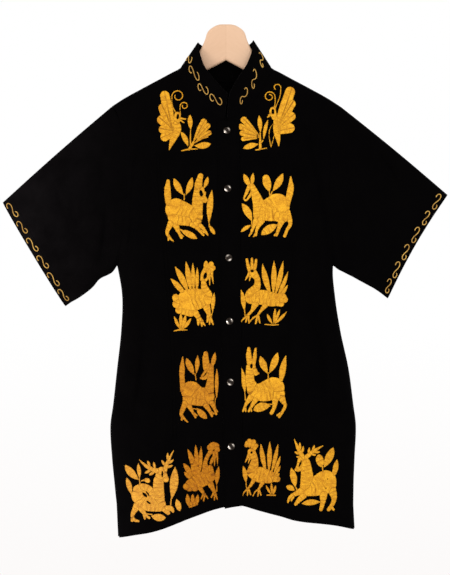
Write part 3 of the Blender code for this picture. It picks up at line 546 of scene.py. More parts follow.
# Embroidery: strokes on a flat sheet, in steps of 1.75 mm, x to the viewer's right and y down.
# limb and wing: x, y, half width at each point. leaf: root x y, tip x y, half width, bend.
# curl: middle x y, outer and inner radius, start and end in degrees, half width.
# hole: middle x y, half widths, turn in degrees.
STEP = 0.00175
DRAWINGS = {
    "butterfly_left": """
        wing 40 46 3 48 26 5.4 54 8 5; wing 40 46 3 48 32 5 55 20.5 4.6; wing 41 47 3 48 39 4.6 54.6 33.5 4.8;
        wing 41 49 3 47 47 4.8 53.4 45.6 5; limb 39.6 35 2.6 40.4 42 3.8 40.4 50 3.6 41.6 58 2.2 42 65 0.4;
        limb 36.4 27 3.2 36.4 30 3.6 38 35 3; hole 36.4 28.8 1.4 2.6 0; limb 35 31 1.6 31.2 34.6 0.8;
        limb 34.6 32.4 1 32 32.4 0.6; curl 33 13.4 5.6 2.2 0 -450 0.55;
        limb 38.6 13.6 0.6 38.8 19 0.6 37.6 25 0.7; curl 40.6 4 4 2.4 10 -225 0.55;
        limb 44.5 5.4 0.55 43.6 13 0.55 38.8 25 0.6; limb 38 40 0.5 33.4 46 0.5 32.4 54 0.5 34.2 65 0.5;
        limb 38 41 0.4 37.8 52 0.45 34.4 65 0.5; wing 21 53 1.4 13 44 2.8 7 37.6 3.4;
        wing 21 54 1.6 11 48 2.8 4 44.6 3.2; wing 21 55 1.4 12 53 2.6 5.4 51.4 3;
        wing 20 56.4 1 12 56.8 1.9 6.4 57.2 2.5; hole 20.4 54.6 0.5 2 0; leaf 23.6 51 22.2 32.4 2.7 0.3;
        leaf 26.6 58.6 31.4 37 2.1 -0.6; leaf 22 62.4 6 67 3.3 0.6; limb 23.4 50 0.7 23.4 58 1.2 23.4 67 1.7;
        limb 26.6 58 0.5 24 61.5 0.7; limb 19 68.4 0.8 24 67.6 0.8 30 66.4 0.5
    """,
    "butterfly_right": """
        wing 16 43 3 11.6 24 5.2 8 7 4.7; wing 16 43 3 10.6 30 5 6 19.8 4.5;
        wing 16 43 3 10.4 37 4.6 4.8 32 4.6; wing 16 44 3 11.4 43 4.6 6.6 42 4.5;
        wing 16 46 2.4 12.4 48 4 8.6 49.6 4.7; limb 19.8 34 3 20.6 42 4.4 17.4 50 3.8 14.6 58 2 12.8 63.4 0.4;
        limb 21 27 3.2 20.8 31 3.6 20.4 35 3.2; hole 21.4 29 1.3 2.6 6;
        limb 23 30 1.2 25.4 31 1.2 29.2 31.6 0.8; limb 22.4 32 1.2 25 33.4 1.1 27.8 35.4 0.6;
        curl 21.4 7.8 6.2 3 180 560 0.55; limb 15.2 8 0.6 15.6 17 0.6 19.6 25.6 0.7;
        curl 27.8 18 4.2 1.8 180 560 0.55; limb 23.6 18.4 0.55 23.6 22 0.55 24 27 0.7;
        leaf 34.6 43 33.8 27 2.9 -0.3; leaf 32 60 24.4 44.4 2.9 0.8; wing 38 54 1.2 43 43 2.8 47.6 34.4 3.3;
        wing 38 55 1.2 45 46 2.8 51.6 38.6 3; wing 39 55.4 1.2 46 50 2.6 53 46 2.8;
        wing 39 54.6 1 45 51.4 1.7 50.6 49.4 2.1; hole 39.6 53.4 0.4 1.8 35; leaf 38 59 55 57 3.8 1;
        limb 34.4 42 0.6 34.2 52 0.8 34.6 60 1.2; limb 38.4 54 1.2 36 58 1.6 32.8 62.8 1.4;
        limb 25.4 64.2 0.7 33 62.6 0.9 41.4 62.4 0.6
    """,
    "deer_left": """
        limb 19 44 5.4 24 38.6 9.6 31 36.4 12 36.4 33.4 12.6; limb 36 40 9 43 43 6.4;
        limb 11 13 2.8 14.6 22 4.2 18 33 6 17.6 43 5.4; limb 8.4 13 2.2 5.6 20 1.8 2.6 26.4 0.8;
        limb 2.6 26.4 0.8 5.4 27.4 1.2 9.6 22 1.5 12 17 2; leaf 10 15 2.8 0.8 3.1 -0.4;
        leaf 10.4 14 12.2 -0.2 2.3 0.2; limb 44.6 37 3.2 47.4 27 3.2 50 15 3.2 50 4 0.9;
        limb 28.4 18 1.2 26.4 11 4.1 25.2 5.4 3.6; leaf 31.6 18.6 42.2 0.4 3.9 0.8;
        limb 28 17 0.5 29.4 23.6 0.7; limb 31.8 18 0.5 29.6 22.6 0.6; limb 15.6 47 3.3 12.6 54 1.9 9.8 61 1.4;
        limb 10.4 59.4 1.1 8.2 63.4 0.8; limb 21 48 3.2 16.4 55.4 1.9 14.8 62.8 1.4;
        limb 15.2 60 1.1 12.8 64 0.8; limb 41 47 3.8 38.4 54.4 2.2 35.6 62.6 1.6;
        limb 36.8 59.6 1.2 33.6 62.8 0.9; limb 46 40 4 49.6 50.4 2.3 46.4 57 1.8 43.8 63.6 1.7;
        leaf 37 52 20.4 62.4 4.7 0.9; limb 38.8 49.6 0.5 34 54 0.6; leaf 11 49 1 30.6 4.1 0.8;
        limb 10.8 48 0.6 11 55.6 0.6; leaf 10.6 52.4 -0.2 59.4 2.3 0.5
    """,
    "deer_right": """
        limb 12.4 36.4 10.8 21 40.4 10.4 31 43.6 8.2; limb 12 44 8 24 45 8.4;
        limb 35 17 4.6 34 29 5.4 33.6 41 5.4 32.8 50 4.8; limb 36.4 18 4.8 38 26.6 2.6 41.6 28.6 1.9;
        limb 41 20 1.6 40.6 24 2 42.6 27.6 2; hole 37.6 20.6 1.7 3.2 -12; limb 37 3 2.8 35 11 3.8 34.6 17 4;
        leaf 40 16 44.4 3.6 2.4 0.5; limb 6 34 3.2 4.4 26 3.3 3.8 17 3.4 4.4 8 1.8;
        leaf 20 22.4 10 5.2 3.7 -0.7; leaf 22 22.4 28.6 4.2 3.4 0.8; limb 20.6 21.4 0.5 20.6 27 0.7;
        limb 8 49 3.5 3.6 59.4 2.1 6 65 1.5 10 69 0.9; limb 4.6 62 1.2 4.8 67.6 0.9;
        limb 12.4 53 3.2 15.6 60.4 1.8 17.8 65 1.5; limb 16.4 61 1.1 19.4 63.6 0.8;
        limb 27 50 3.6 34 55.6 2.2 40 62.6 1.3; limb 36 57.4 1.2 42 60.4 0.9;
        limb 33 50 3.2 40 56 1.8 44.2 62.4 1; leaf 16.4 57.4 34 66.4 3.6 -0.4; limb 13.8 56 0.6 18.6 57.6 0.7;
        leaf 45.4 52 48.6 17 3.6 -0.7; leaf 46 52.6 51.6 62.2 2.3 0.2; limb 45.4 50 0.6 46 54.4 0.7
    """,
    "bird_left": """
        limb 14 16 4.4 18.4 22 3.1 18.2 30 3.7 12.8 38 6 12 42 5.6;
        limb 14 40.4 7 24 41 7.6 34 43 7.2 42 43.4 5.4; limb 44 39.4 3.6 46.4 43.2 3.4;
        limb 38 46 4 43 47.4 3; limb 8 2.4 1.4 9 8 1.9 11 14 2.2; limb 13.2 1.6 1.3 13.2 7 1.7 13.4 13 2;
        limb 17.4 2.8 1.3 16.8 8 1.8 15 14 2.2; hole 13.4 14.2 1.6 1.3 0; limb 10.6 16.6 1.8 6.4 23.4 0.5;
        limb 12 18 1.3 10.6 24 0.5; leaf 33 40 24 6.6 3.5 -1.2; leaf 34.6 40 35.6 3.4 3.2 0.4;
        leaf 36 41 45 3.4 2.9 0.8; leaf 38 42 50 14.6 2.4 0.8; leaf 40 42 50 27.8 2.1 0.4;
        leaf 5.6 55 1.6 32.6 3.2 0.5; limb 5.6 53 0.6 6.2 60 0.6; limb 17 47 3.6 13 54.6 1.9 8.4 59.4 1.4;
        limb 9 59 1.2 4.4 63 1 1 67 0.6; limb 9 59 1.2 6.8 66 0.8; limb 9.4 59 1.2 10.2 66 0.7;
        limb 27 48.6 3 21.6 55.4 1.6 18.6 59.4 1.4; limb 19 59 1.2 13.6 62.6 1 10 67.2 0.6;
        limb 19 59 1.2 17 67.4 0.9; limb 19.4 59 1.2 21.2 66.8 0.8; leaf 34.4 68.4 28.4 57.4 1.8 -0.4;
        leaf 35 68.4 36.8 51.4 1.8 0.3; leaf 35.4 68.4 41.8 52.2 1.7 0.3; leaf 35.6 68.4 48.6 55.4 1.9 0.5;
        limb 26.4 68.4 0.6 34 69 0.8 40 68.8 0.6
    """,
    "bird_right": """
        limb 20 40 12 28 38 10.6 36 38 7.6; leaf 18 36 1.4 17.4 3.3 0.5; leaf 20 33 5.8 5 3.6 0.8;
        leaf 22.4 33 17 0.2 3.3 0.3; leaf 25 33 24 1.4 2.4 0; leaf 28 33 28.6 6 2.2 0;
        limb 6.6 36.4 3.4 9 41 4.2; limb 7.6 43 4.2 12 45 4.4; limb 10 49 3.8 16 49.6 4.4 22 51.4 4.4;
        limb 38.6 34 5.2 35.6 26 3.4 35 20 2.5; limb 33 18.6 1.8 33.8 13 1.8 37 8 2.6;
        limb 36.4 20 1.7 39.6 16 1.6 40.4 9 3.4; hole 36.6 14.6 1.3 2.8 30; leaf 37.6 10 37.4 -0.4 3 0;
        limb 40 8 2.4 42.6 3.2 2.7; limb 42 9 2.6 44.4 6.8 2.7; limb 41 13 1.7 41 18 1.1 41.2 24 0.5;
        limb 43.2 11 1.7 43.8 17 1.1 45 23.6 0.4; limb 26 51 3.6 31 58 2.3 36.4 64.4 0.9;
        limb 30 57 2.4 29.6 63.6 1; limb 33 60 1.8 33.2 65 0.8; limb 38 46 3.8 40.6 54 2.2 44.6 63.4 0.9;
        limb 40 54 1.8 38.6 61 0.9; limb 41.4 56 1.4 41 63.2 0.8; leaf 44 52 45.8 31.6 2.5 -0.5;
        limb 43.6 52 0.5 42.4 57 0.6; leaf 12 69 5 55 1.9 -0.4; leaf 12 69 12 51 2.1 0;
        leaf 12.6 69 17 53.4 2.3 0.3; leaf 13 69 22.4 57 2.1 0.5; limb 5.2 70 0.7 11 68.8 1 18.4 69 0.6
    """,
    "fawn_left": """
        limb 14.6 44.6 7 22 46 9.2 30 43.6 10.8 33.8 42 10.8; limb 34 46 8 38.6 48 6.4;
        limb 11 21.4 4.9 9.8 33 4.4 13.4 44 6.4; limb 13 23.4 3.4 16 27.2 2.4; limb 15.4 26 1.6 18.4 27.4 1.1;
        hole 11.4 20 1.3 2.2 0; limb 8.8 2.6 1.8 8.8 10 2.9 10 19 3;
        limb 15.6 2.6 1.2 14.8 10 2.1 13.4 18 2.2; leaf 40.6 40 46.4 9 3.8 -0.8;
        leaf 27.6 27.6 20.4 10 3.9 -0.6; leaf 29.2 27.6 37.8 6.4 4 0.7; limb 28.2 26 0.5 28.2 33 0.7;
        leaf 5 48 0.6 20 3 0.5; limb 4.8 46 0.6 5.4 54 0.6; limb 11 51 3.3 6.6 57 2 4.8 61 1.5 3 65 1.2;
        limb 5 60.6 1.1 5.8 65 0.8; limb 16 53 3 11.6 60 1.8 8.8 65 1.3; limb 11 60 1.1 11.4 65 0.8;
        limb 35.4 52 3.6 34.4 61 2.2 31.6 67 2.1; limb 40 49 4.2 43.8 56 2.7 45.4 60.6 1.9 39.4 71 1.6;
        limb 41.4 67 1.2 37.6 69.4 1.2; leaf 30.6 60 13.6 64.6 5 1.6; limb 27.6 58 0.5 34 58.6 0.8
    """,
    "fawn_right": """
        limb 12.8 41.4 10.2 20 46 9.2 27.6 46 8.4; limb 11 48 7 25 50 6.2;
        limb 31.6 17 3.6 32 30 3.5 30.4 42 4.9 29 48 5; limb 30 17 4 27 21 1.8 23.6 26 1.3;
        limb 22.4 28 1.3 26.6 27.8 2 30.4 23 2 32 19 3; limb 27.2 3.4 2.4 27.2 10 3.4 28 18 3.4;
        leaf 32.8 19 36.6 2 2.6 0.4; limb 4.8 40 3.2 3.6 29 2.7 3.6 18 2.8 4.2 7 0.6;
        leaf 16 25.2 7.8 7.8 3.6 -0.5; leaf 17.6 24 19.2 5.2 2.6 0.3; limb 16.6 23.6 0.5 17.6 30 0.6;
        limb 7.4 52 3.4 2.8 63.6 2.1 5 68 1.6 9 72 1; limb 3.4 66 1.2 3.2 70 1;
        limb 10.6 56 2.8 14 62 1.7 17 67.4 1.3; limb 15 63 1.1 18.4 65.4 0.8;
        limb 26 53 3.4 31 60.4 2.1 33.6 66 1.3; limb 31.6 61 1.2 35.4 63.6 0.9;
        limb 32 51 3 36 58 1.9 37.8 64 1.2; limb 36.4 58 1.1 39 61.4 0.8; leaf 18 58 28.6 68.4 3.7 0.4;
        limb 13.4 58.4 0.5 19 59.4 0.7; leaf 38 50 38.4 18 2.2 0; limb 36.8 48 0.5 36.4 55 0.6
    """,
    "rooster_left": """
        limb 10.8 14 4.2 13.8 21 3.5 12.8 28 4.8 12 33 6; limb 12.6 34.6 6.2 20 36.8 7.8 28 38.6 6.6;
        limb 30 39 4.4 36.6 41 3.2; limb 5.4 7 2 6.2 4.8 2.2; limb 8.4 7 2.2 8.6 3 2.6;
        limb 11.4 8 2.2 12.6 3.6 2.5; limb 13 11 2 15.2 7.4 2.2; hole 10.6 14.2 1.1 1.1 0;
        limb 8 17 1.8 4.2 24 0.5; limb 9.4 19 1.2 7.4 24.6 0.5; leaf 26 36 20 4.4 2.8 -0.9;
        leaf 28 36 29 3 2.8 0.3; leaf 30 37 37.6 5.2 2.4 0.5; leaf 32 38 40 17.4 2 0.4;
        leaf 33 39 40 27.4 1.8 0.3; leaf 33 40 39 35.4 1.7 0.2; leaf 5 45 2 27.4 2.9 0.5;
        limb 5 43.4 0.5 5.6 50 0.6; limb 14 40 2.8 9.8 47 1.6 6.4 51 1.3;
        limb 7 50.6 1.1 3.4 53.6 0.9 1.2 58 0.5; limb 7 50.6 1 6.4 57.2 0.7; limb 7.6 50.4 1 9.8 56.4 0.7;
        limb 22.4 43 2.8 19 49 1.5 17.6 51 1.2; limb 18 51 1.1 14.4 53.4 0.9 12 57.6 0.6;
        limb 18 51 1 17 58 0.7; limb 18.2 51 1 20.2 57 0.7; leaf 31 57 25 46.6 1.4 -0.4;
        leaf 31.4 57 30.6 44 1.5 0; leaf 32 57.4 35 47 1.6 0.3; limb 26.4 57 0.7 34.6 57 0.7
    """,
    "rooster_right": """
        limb 27 35 6.4 18 39 7.6 9.4 43.6 6; limb 6.4 45.4 4.4 4 45.4 3; limb 8.4 46.4 4 7 47.4 2.8;
        limb 13 45.8 4.4 12.6 47.6 2.6; limb 12.2 22.4 3.4 13.8 30 4.8;
        limb 28.6 6.4 3.6 31 4.4 3.6 34.4 4.4 3; limb 34 6 3 35.8 8.6 2.2;
        limb 29 10 2.6 25 16.4 2.2 23.2 23 2.6 24.6 31 5; limb 34 10 2 35.2 16 1.2 35.6 24 0.4;
        limb 32 12 2.4 30.4 18 2 28.8 22 1.4; limb 33 14 1.5 32.6 20 0.9 32.6 26 0.4; limb 28 27 3.2 29 34 4;
        hole 28.6 16 1.2 3.6 30; leaf 15 34 5.6 7.6 3.1 0.4; leaf 15.8 33 13.6 3 2.5 0;
        leaf 18 34 19.2 4.8 2.3 0; leaf 11.4 37 1 22 3.1 0.4; leaf 10 39 2 31 2.6 0.3;
        limb 17.6 46 2.8 21.6 52 1.6 26 57 0.7; limb 23 53 1.2 21.6 59.6 0.7; limb 22 52 1.2 19.2 57.4 0.7;
        limb 28.6 43 3.2 32.6 51 1.8 35.4 58 0.7; limb 33 52 1.2 32.4 58.6 0.7; limb 32 51 1.2 29.4 56 0.7;
        leaf 7.4 66.4 5.2 52.8 2.6 -0.2; leaf 10.6 66.4 10.8 52.2 2.4 0; leaf 13.8 65 16 53.2 2.4 0.2;
        limb 7.4 62.4 1.8 10.6 62.2 2.2 14 61 1.8; limb 7.4 66 0.8 11 64.6 1.2 15.4 63.2 0.7;
        leaf 34.6 45 36.8 25 2.7 -0.4; limb 34.8 44 0.5 34.8 50 0.6
    """,
    "stag_left": """
        limb 23.4 49 7.6 33 46 10 41 41.4 10.4 43.4 46 8.4; limb 20 23.6 5.2 21.6 35 6.2 22.4 47 8;
        limb 16 20.6 4 14 26 3.2 10.4 30 1.8; limb 16 29.4 2 12 30.6 1.6; hole 14.8 24 0.9 3 22;
        limb 18.6 20 2.6 15.4 14 2.4 12 7.6 1.9 8.6 -0.6 0.4; leaf 14.6 13 14.2 1.8 1.5 0;
        leaf 16 15 18 6 1.5 0.2; leaf 14.4 15 8.8 12 1.5 0; leaf 16 18 10.6 17 1.3 0;
        limb 19.4 19 2.6 25 14 2.2 30 10.4 1.8 38.6 6 0.4; leaf 23 16 24 7.6 1.6 0; leaf 27 13 29.4 5 1.5 0;
        leaf 28 12.6 35.2 12.4 1.6 0; leaf 26 14.6 31 15.6 1.3 0; leaf 48 40 52.8 20 3.3 0.5;
        leaf 37 28 33.6 14.8 4.6 -0.3; leaf 38.8 28.4 48.8 8 4.7 0.6; limb 37.6 26.6 0.6 38 33 0.8;
        leaf 9.8 48.6 5.4 28 3.9 0.4; leaf 9 51 0.4 46.6 3.1 0.6; limb 9.6 47 0.6 11.6 50.6 0.8;
        limb 17 51 3.8 9 54.6 2.4 4 57.6 1.8 2 62.4 1.1; limb 8 56 1.6 5.6 60.6 1;
        limb 18 56 3.4 12.8 61 2.5 10 64.4 1.8; limb 38.6 54 4.4 38 62 2.9 36 70 2.1;
        limb 47 50 4.8 49.6 58 3.2 48.6 64 2.4 44 70.4 2.1; limb 46.4 67.4 1.6 49 70.6 1.4;
        leaf 36 62.6 16 63.8 3.4 0.5; hole 43 39.8 0.45 0.6 0; hole 41.2 49 0.45 0.6 0
    """,
    "stag_right": """
        limb 15 47 8.2 21 53.4 7.8 35 55 7; limb 34.4 31 5.2 34.4 42 5.7 34.6 54 6.4;
        limb 37.6 22 4.8 36 27 5; limb 39 25 4 41.8 29.6 3; hole 38.2 24.4 0.9 2.7 0;
        limb 14 41 5.6 20 37.8 3.8 26.4 41 3.6 30 47 4; hole 20.6 45.4 1.4 2.9 -48; hole 24.4 53 0.9 2.3 -55;
        limb 40.4 21 2.7 43 14 2.1 45.6 8 1.5 49.6 0.6 0.4; leaf 41.4 17 37.2 9.8 1.5 0;
        leaf 43.6 12 43.6 2.6 1.5 0; leaf 43 15 50 9.6 1.5 0; leaf 42 18 49 15.6 1.5 0;
        limb 34.6 21.8 3 28 19.8 2.4 21.4 16 1.8 15 10.4 0.5; leaf 26 18 23.4 10.6 1.6 0;
        leaf 31 20 29.4 12 1.6 0; leaf 28 20 20.4 23.8 1.8 0; leaf 31 22 24.8 25.6 1.7 0;
        leaf 14.6 30.6 0.4 16 4.4 -0.8; leaf 15.4 29.6 14 13.6 2.4 0; limb 17 31.6 0.6 20.4 30.4 0.8;
        limb 22 30.6 2.1 23.6 31.2 2.4; limb 15 29 0.5 15.8 36 0.8; leaf 7 46 1.8 28.6 3.2 0.4;
        leaf 47.4 50 51 17 4.9 0.8; limb 47.4 48 0.6 46.6 55 0.7; leaf 52.4 49 56 61 3.4 0;
        limb 39 58 3.4 44 63 2.2; limb 41 58.6 3.2 47 58.6 2.6 49 61.4 1.6;
        limb 12.6 57 3.8 7.8 66.4 2.1 9.6 71 1.9 14 72.2 1.3; limb 8 68 1.6 7.6 72 1.4;
        limb 16.4 59 3.2 21 65 2 25 68.4 1.4; limb 20 65 1.6 20.6 69.4 1.1; leaf 27 66.4 41.6 68 4.2 0.6;
        limb 23 64.4 0.6 28 65 0.6
    """,
}
# Drawing, where its left edge and top lie on the garment, and its stretch across and down.
MOTIFS = (
    ("butterfly_left", 237, 81, 1.0, 1.0),
    ("deer_left", 241, 172.5, 1.0, 1.0),
    ("bird_left", 239, 257, 0.985, 0.985),
    ("fawn_left", 240, 346, 1.0, 1.0),
    ("rooster_left", 241, 438, 0.99, 1.0),
    ("stag_left", 286, 440, 0.98, 1.0),
    ("butterfly_right", 156, 86, 1.0, 1.0),
    ("deer_right", 163.5, 172.5, 1.0, 1.0),
    ("bird_right", 169, 261, 0.99, 1.0),
    ("fawn_right", 178.5, 350, 1.0, 1.0),
    ("rooster_right", 182, 441, 1.0, 1.0),
    ("stag_right", 124, 450, 1.0, 1.0),
)
# A place in the drawings' steps, and where it lies on the garment as x and drop.
MOTIF_MIDDLE = (225.0, 287.5)
MOTIF_MIDDLE_AT = (-0.0018, 0.4683)
# In metres: the thread's height, the width of its rounded edge, the groove where strokes meet and how far
# its rim is sunk. In steps: the unevenness of outlines, the sheet's grid, and the half width of a stroke
# that is sewn in broad stitches. In cells: how far outside the outline a point is kept, and the sheet's
# border. A leaf's width has a factor.
THREAD_HEIGHT = 0.0009
THREAD_EDGE = 0.0012
THREAD_GROOVE = 0.00030
THREAD_SUNK = 0.00015
SHEET_WOBBLE = 0.16
SHEET_GRID = 0.4
SHEET_REACH = 0.62
SHEET_BORDER = 5
BROAD_STITCH = 3.9
LEAF_SLIM = 0.88


def limb_path(*numbers):
    """Points of a limb, on a curve through the given ones: x, y, half width."""
    points = np.array(numbers, float).reshape(-1, 3)
    if len(points) == 2:
        return between(points[0], points[1], np.linspace(0, 1, 5)[:, None])
    path = curved(points, 6)
    path[:, 2] *= 0.82 + 0.18 * np.clip(path[:, 2] / 4, 0, 1)
    return path


def leaf_path(x0, y0, x1, y1, half, bend):
    share = np.linspace(0, 1, 17)
    length = math.hypot(x1 - x0, y1 - y0)
    bow = bend * 4 * share * (1 - share)
    x = between(x0, x1, share) - (y1 - y0) / length * bow
    y = between(y0, y1, share) + (x1 - x0) / length * bow
    wide = LEAF_SLIM * half * np.sin(math.pi * share**1.12) ** 0.92
    return np.column_stack([x, y, np.maximum(wide, 0.30 * (1 - share) + 0.16 * share)])


def curl_path(x, y, outer, inner, start, end, half):
    share = np.linspace(0, 1, 44)
    angle, radius = np.radians(between(start, end, share)), between(outer, inner, share)
    return np.column_stack([x + radius * np.cos(angle), y + radius * np.sin(angle), np.full(44, half)])


PATHS = {"limb": limb_path, "wing": limb_path, "leaf": leaf_path, "curl": curl_path}


def stroke_field(path, x, y):
    """Distance outside a stroke, and the place along and across it, for every point of the sheet."""
    best, along, across = np.full(x.shape, 1e9), np.zeros(x.shape), np.zeros(x.shape)
    passed = 0.0
    for (ax, ay, ar), (bx, by, br) in zip(path, path[1:]):
        length = max(math.hypot(bx - ax, by - ay), 1e-6)
        way_x, way_y = (bx - ax) / length, (by - ay) / length
        share = np.clip(((x - ax) * way_x + (y - ay) * way_y) / length, 0, 1)
        distance = np.hypot(x - between(ax, bx, share), y - between(ay, by, share)) - between(ar, br, share)
        closer = distance < best
        best = np.where(closer, distance, best)
        along = np.where(closer, passed + share * length, along)
        across = np.where(closer, (x - ax) * way_y - (y - ay) * way_x, across)
        passed += length
    return best, along, across


def hole_field(x, y, middle_at, middle_y, half_x, half_y, angle):
    turn = math.radians(angle)
    across = (x - middle_at) * math.cos(turn) + (y - middle_y) * math.sin(turn)
    upright = -(x - middle_at) * math.sin(turn) + (y - middle_y) * math.cos(turn)
    return (1 - np.hypot(across / half_x, upright / half_y)) * min(half_x, half_y)


def sheet_outline(outside):
    """Which points lie near the outline, how far these move onto it, and which are kept."""
    slope_y, slope_x = np.gradient(outside, SHEET_GRID)
    steep = np.maximum(slope_x**2 + slope_y**2, 0.2)
    kept = outside < SHEET_REACH * SHEET_GRID
    near = (np.abs(outside) < SHEET_REACH * SHEET_GRID) | ((outside > 0) & (outside < 0.75 * SHEET_GRID))
    move = np.clip(np.where(near, outside / steep, 0.0), -0.7 * SHEET_GRID, 0.7 * SHEET_GRID)
    return near, move * slope_x, move * slope_y, kept


def motif(name, left, top, wide, tall):
    """One drawing as a padded sheet of stitches, laid on the front of the garment."""
    rows = map(str.split, DRAWINGS[name].split(";"))
    strokes = [(kind, [float(number) for number in numbers]) for kind, *numbers in rows]
    drawn = [(kind, PATHS[kind](*numbers)) for kind, numbers in strokes if kind != "hole"]
    reach = np.concatenate([path[:, :2] + path[:, 2:] * sign for _, path in drawn for sign in (-1, 1)])
    edge = SHEET_BORDER * SHEET_GRID
    low, high = reach.min(axis=0) - edge, reach.max(axis=0) + edge
    x, y = np.meshgrid(*(np.arange(low[axis], high[axis], SHEET_GRID) for axis in (0, 1)))
    fields = [stroke_field(path, x, y) for _, path in drawn]
    distances, along, across = (np.stack(lot) for lot in zip(*fields))
    nearest, second = np.sort(distances, axis=0)[:2]
    owner = np.argmin(distances, axis=0)
    wobble = np.sin(x * 1.7 + 2 * np.sin(y * 1.3)) * np.sin(y * 1.9 + 2 * np.sin(x * 1.1))
    outside = nearest + SHEET_WOBBLE * wobble
    for kind, numbers in strokes:
        if kind == "hole":
            outside = np.maximum(outside, hole_field(x, y, *numbers))
    near, move_x, move_y, kept = sheet_outline(outside)
    deep = np.where(near, 0.0, np.clip(-outside, 0, None)) * STEP
    rise = 1 - (1 - np.clip(deep / THREAD_EDGE, 0, 1)) ** 2
    apart = np.where(second < 0.2, second - nearest, 9.0)
    height = THREAD_HEIGHT * np.sqrt(rise) - THREAD_GROOVE * np.exp(-((apart / 0.35) ** 2)) * rise
    height -= THREAD_SUNK * (deep <= 0)
    garment_x = MOTIF_MIDDLE_AT[0] + (left + (x - move_x) * wide - MOTIF_MIDDLE[0]) * STEP
    drop = MOTIF_MIDDLE_AT[1] + (top + (y - move_y) * tall - MOTIF_MIDDLE[1]) * STEP
    points = front_point(garment_x, drop, CLOTH + height).reshape(-1, 3)
    row, column = np.nonzero(kept[:-1, :-1] & kept[1:, :-1] & kept[:-1, 1:] & kept[1:, 1:])
    corner, below = row * x.shape[1] + column, x.shape[1]
    corners = np.stack([corner + below, corner + below + 1, corner + 1, corner], axis=1)
    used, faces = np.unique(corners, return_inverse=True)
    stroke = owner[row, column][:, None]
    thread = [part.reshape(len(drawn), -1)[stroke, corners] for part in (along, across)]
    styles = np.array([2 if kind == "wing" else float(path[:, 2].max() > BROAD_STITCH) for kind, path in drawn])
    seam = [apart.ravel()[corners] * STEP, np.broadcast_to(styles[stroke], corners.shape)]
    places = {"Cloth": np.stack(thread, axis=-1) * STEP, "Seam": np.stack(seam, axis=-1)}
    return grid_object("embroidery_" + name, points[used], faces.reshape(-1, 4), places)


def link(name, data):
    obj = bpy.data.objects.new(name, data)
    bpy.context.scene.collection.objects.link(obj)
    return obj


def grid_object(name, points, faces, places, finish=None):
    """An object from numpy arrays, with its layers of texture places."""
    mesh = bpy.data.meshes.new(name)
    mesh.vertices.add(len(points))
    mesh.vertices.foreach_set("co", np.asarray(points, np.float32).ravel())
    mesh.loops.add(faces.size)
    mesh.loops.foreach_set("vertex_index", np.asarray(faces, np.int32).ravel())
    mesh.polygons.add(len(faces))
    mesh.polygons.foreach_set("loop_start", np.arange(0, faces.size, 4, dtype=np.int32))
    mesh.polygons.foreach_set("loop_total", np.full(len(faces), 4, np.int32))
    mesh.update(calc_edges=True)
    for layer, uv in places.items():
        mesh.uv_layers.new(name=layer).data.foreach_set("uv", np.asarray(uv, np.float32).ravel())
    mesh.shade_smooth()
    mesh.validate()
    if finish:
        mesh.materials.append(finish)
    return link(name, mesh)


def run_along(path):
    """Distance from the start of a path, at each of its points."""
    return np.concatenate([[0], np.cumsum(np.linalg.norm(np.diff(path, axis=0), axis=1))])


def cloth(name, rows, finish, wall=CLOTH, ring=False, flip=False):
    """A thin shell on a grid of points, its wall laid outwards."""
    count, width = rows.shape[:2]
    grid = np.arange(count * width).reshape(count, width)
    after = np.roll(grid, -1, axis=1)
    if not ring:
        grid, after = grid[:, :-1], after[:, :-1]
    faces = np.stack([grid[:-1], after[:-1], after[1:], grid[1:]], axis=-1).reshape(-1, 4)
    if flip:
        faces = faces[:, ::-1]
    step_x = np.linalg.norm(np.diff(rows, axis=1, append=rows[:, :1]), axis=-1)
    step_y = np.linalg.norm(np.diff(rows, axis=0, append=rows[-1:]), axis=-1)
    u = np.concatenate([np.zeros((count, 1)), np.cumsum(step_x, axis=1)[:, :-1]], axis=1)
    v = np.concatenate([np.zeros((1, width)), np.cumsum(step_y, axis=0)[:-1]], axis=0)
    uv = np.stack([u.ravel()[faces], v.ravel()[faces]], axis=-1)
    obj = grid_object(name, rows.reshape(-1, 3), faces, {"Cloth": uv}, finish)
    solidify = obj.modifiers.new("Wall", "SOLIDIFY")
    solidify.offset, solidify.thickness = 1.0, wall
    return obj


# Topstitching: its stitches, its height over the cloth, its place on the placket, the cuffs and the
# collar as a share of their width, its height above the hems, and drops near the hem's ends. Then how
# the placket stands off the front, is pressed down at its stitches and sags between snaps.
STITCH_PITCH = 0.0031
STITCH_LENGTH = 0.0022
STITCH_RADIUS = 0.00022
STITCH_LIFT = 0.0003
PLACKET_STITCH = 0.84
PLACKET_STITCHED = (PLACKET_TOP_DROP + 0.003, 0.855)
CUFF_STITCH = 0.925
COLLAR_STITCHES = (0.09, 0.92)
HEM_STITCH = 0.0140
HEM_MIDDLE = 0.86
HEM_SIDE = 0.90
PLACKET_GAP = 0.0004
PLACKET_PRESSED = 0.0003
SNAP_PITCH = 0.11


def placket_rows():
    share = np.linspace(0, 1, 240)[:, None]
    right, left = (between(*reversed(width), share) for width in (PLACKET_RIGHT, PLACKET_LEFT))
    half = np.array([0.25, 0.5, 0.7, 0.8, PLACKET_STITCH, 0.9, 0.97, 1.0])
    across = np.concatenate([-half[::-1], [0], half])
    bottom = float(hem_drop(-1, 0) + hem_drop(1, 0)) / 2 + PLACKET_BELOW - PLACKET_SLANT * across
    drop = between(bottom, PLACKET_TOP_DROP, share)
    x = middle_x(drop) + across * np.where(across < 0, right, left)
    pressed = PLACKET_PRESSED * np.exp(-(((np.abs(across) - PLACKET_STITCH) / 0.03) ** 2))
    sag = PLACKET_GAP * np.sin((drop - SNAP_DROPS[0]) / SNAP_PITCH * math.pi) ** 2 * (1 - across**2)
    return front_point(x, drop, CLOTH + PLACKET_GAP - pressed - sag)


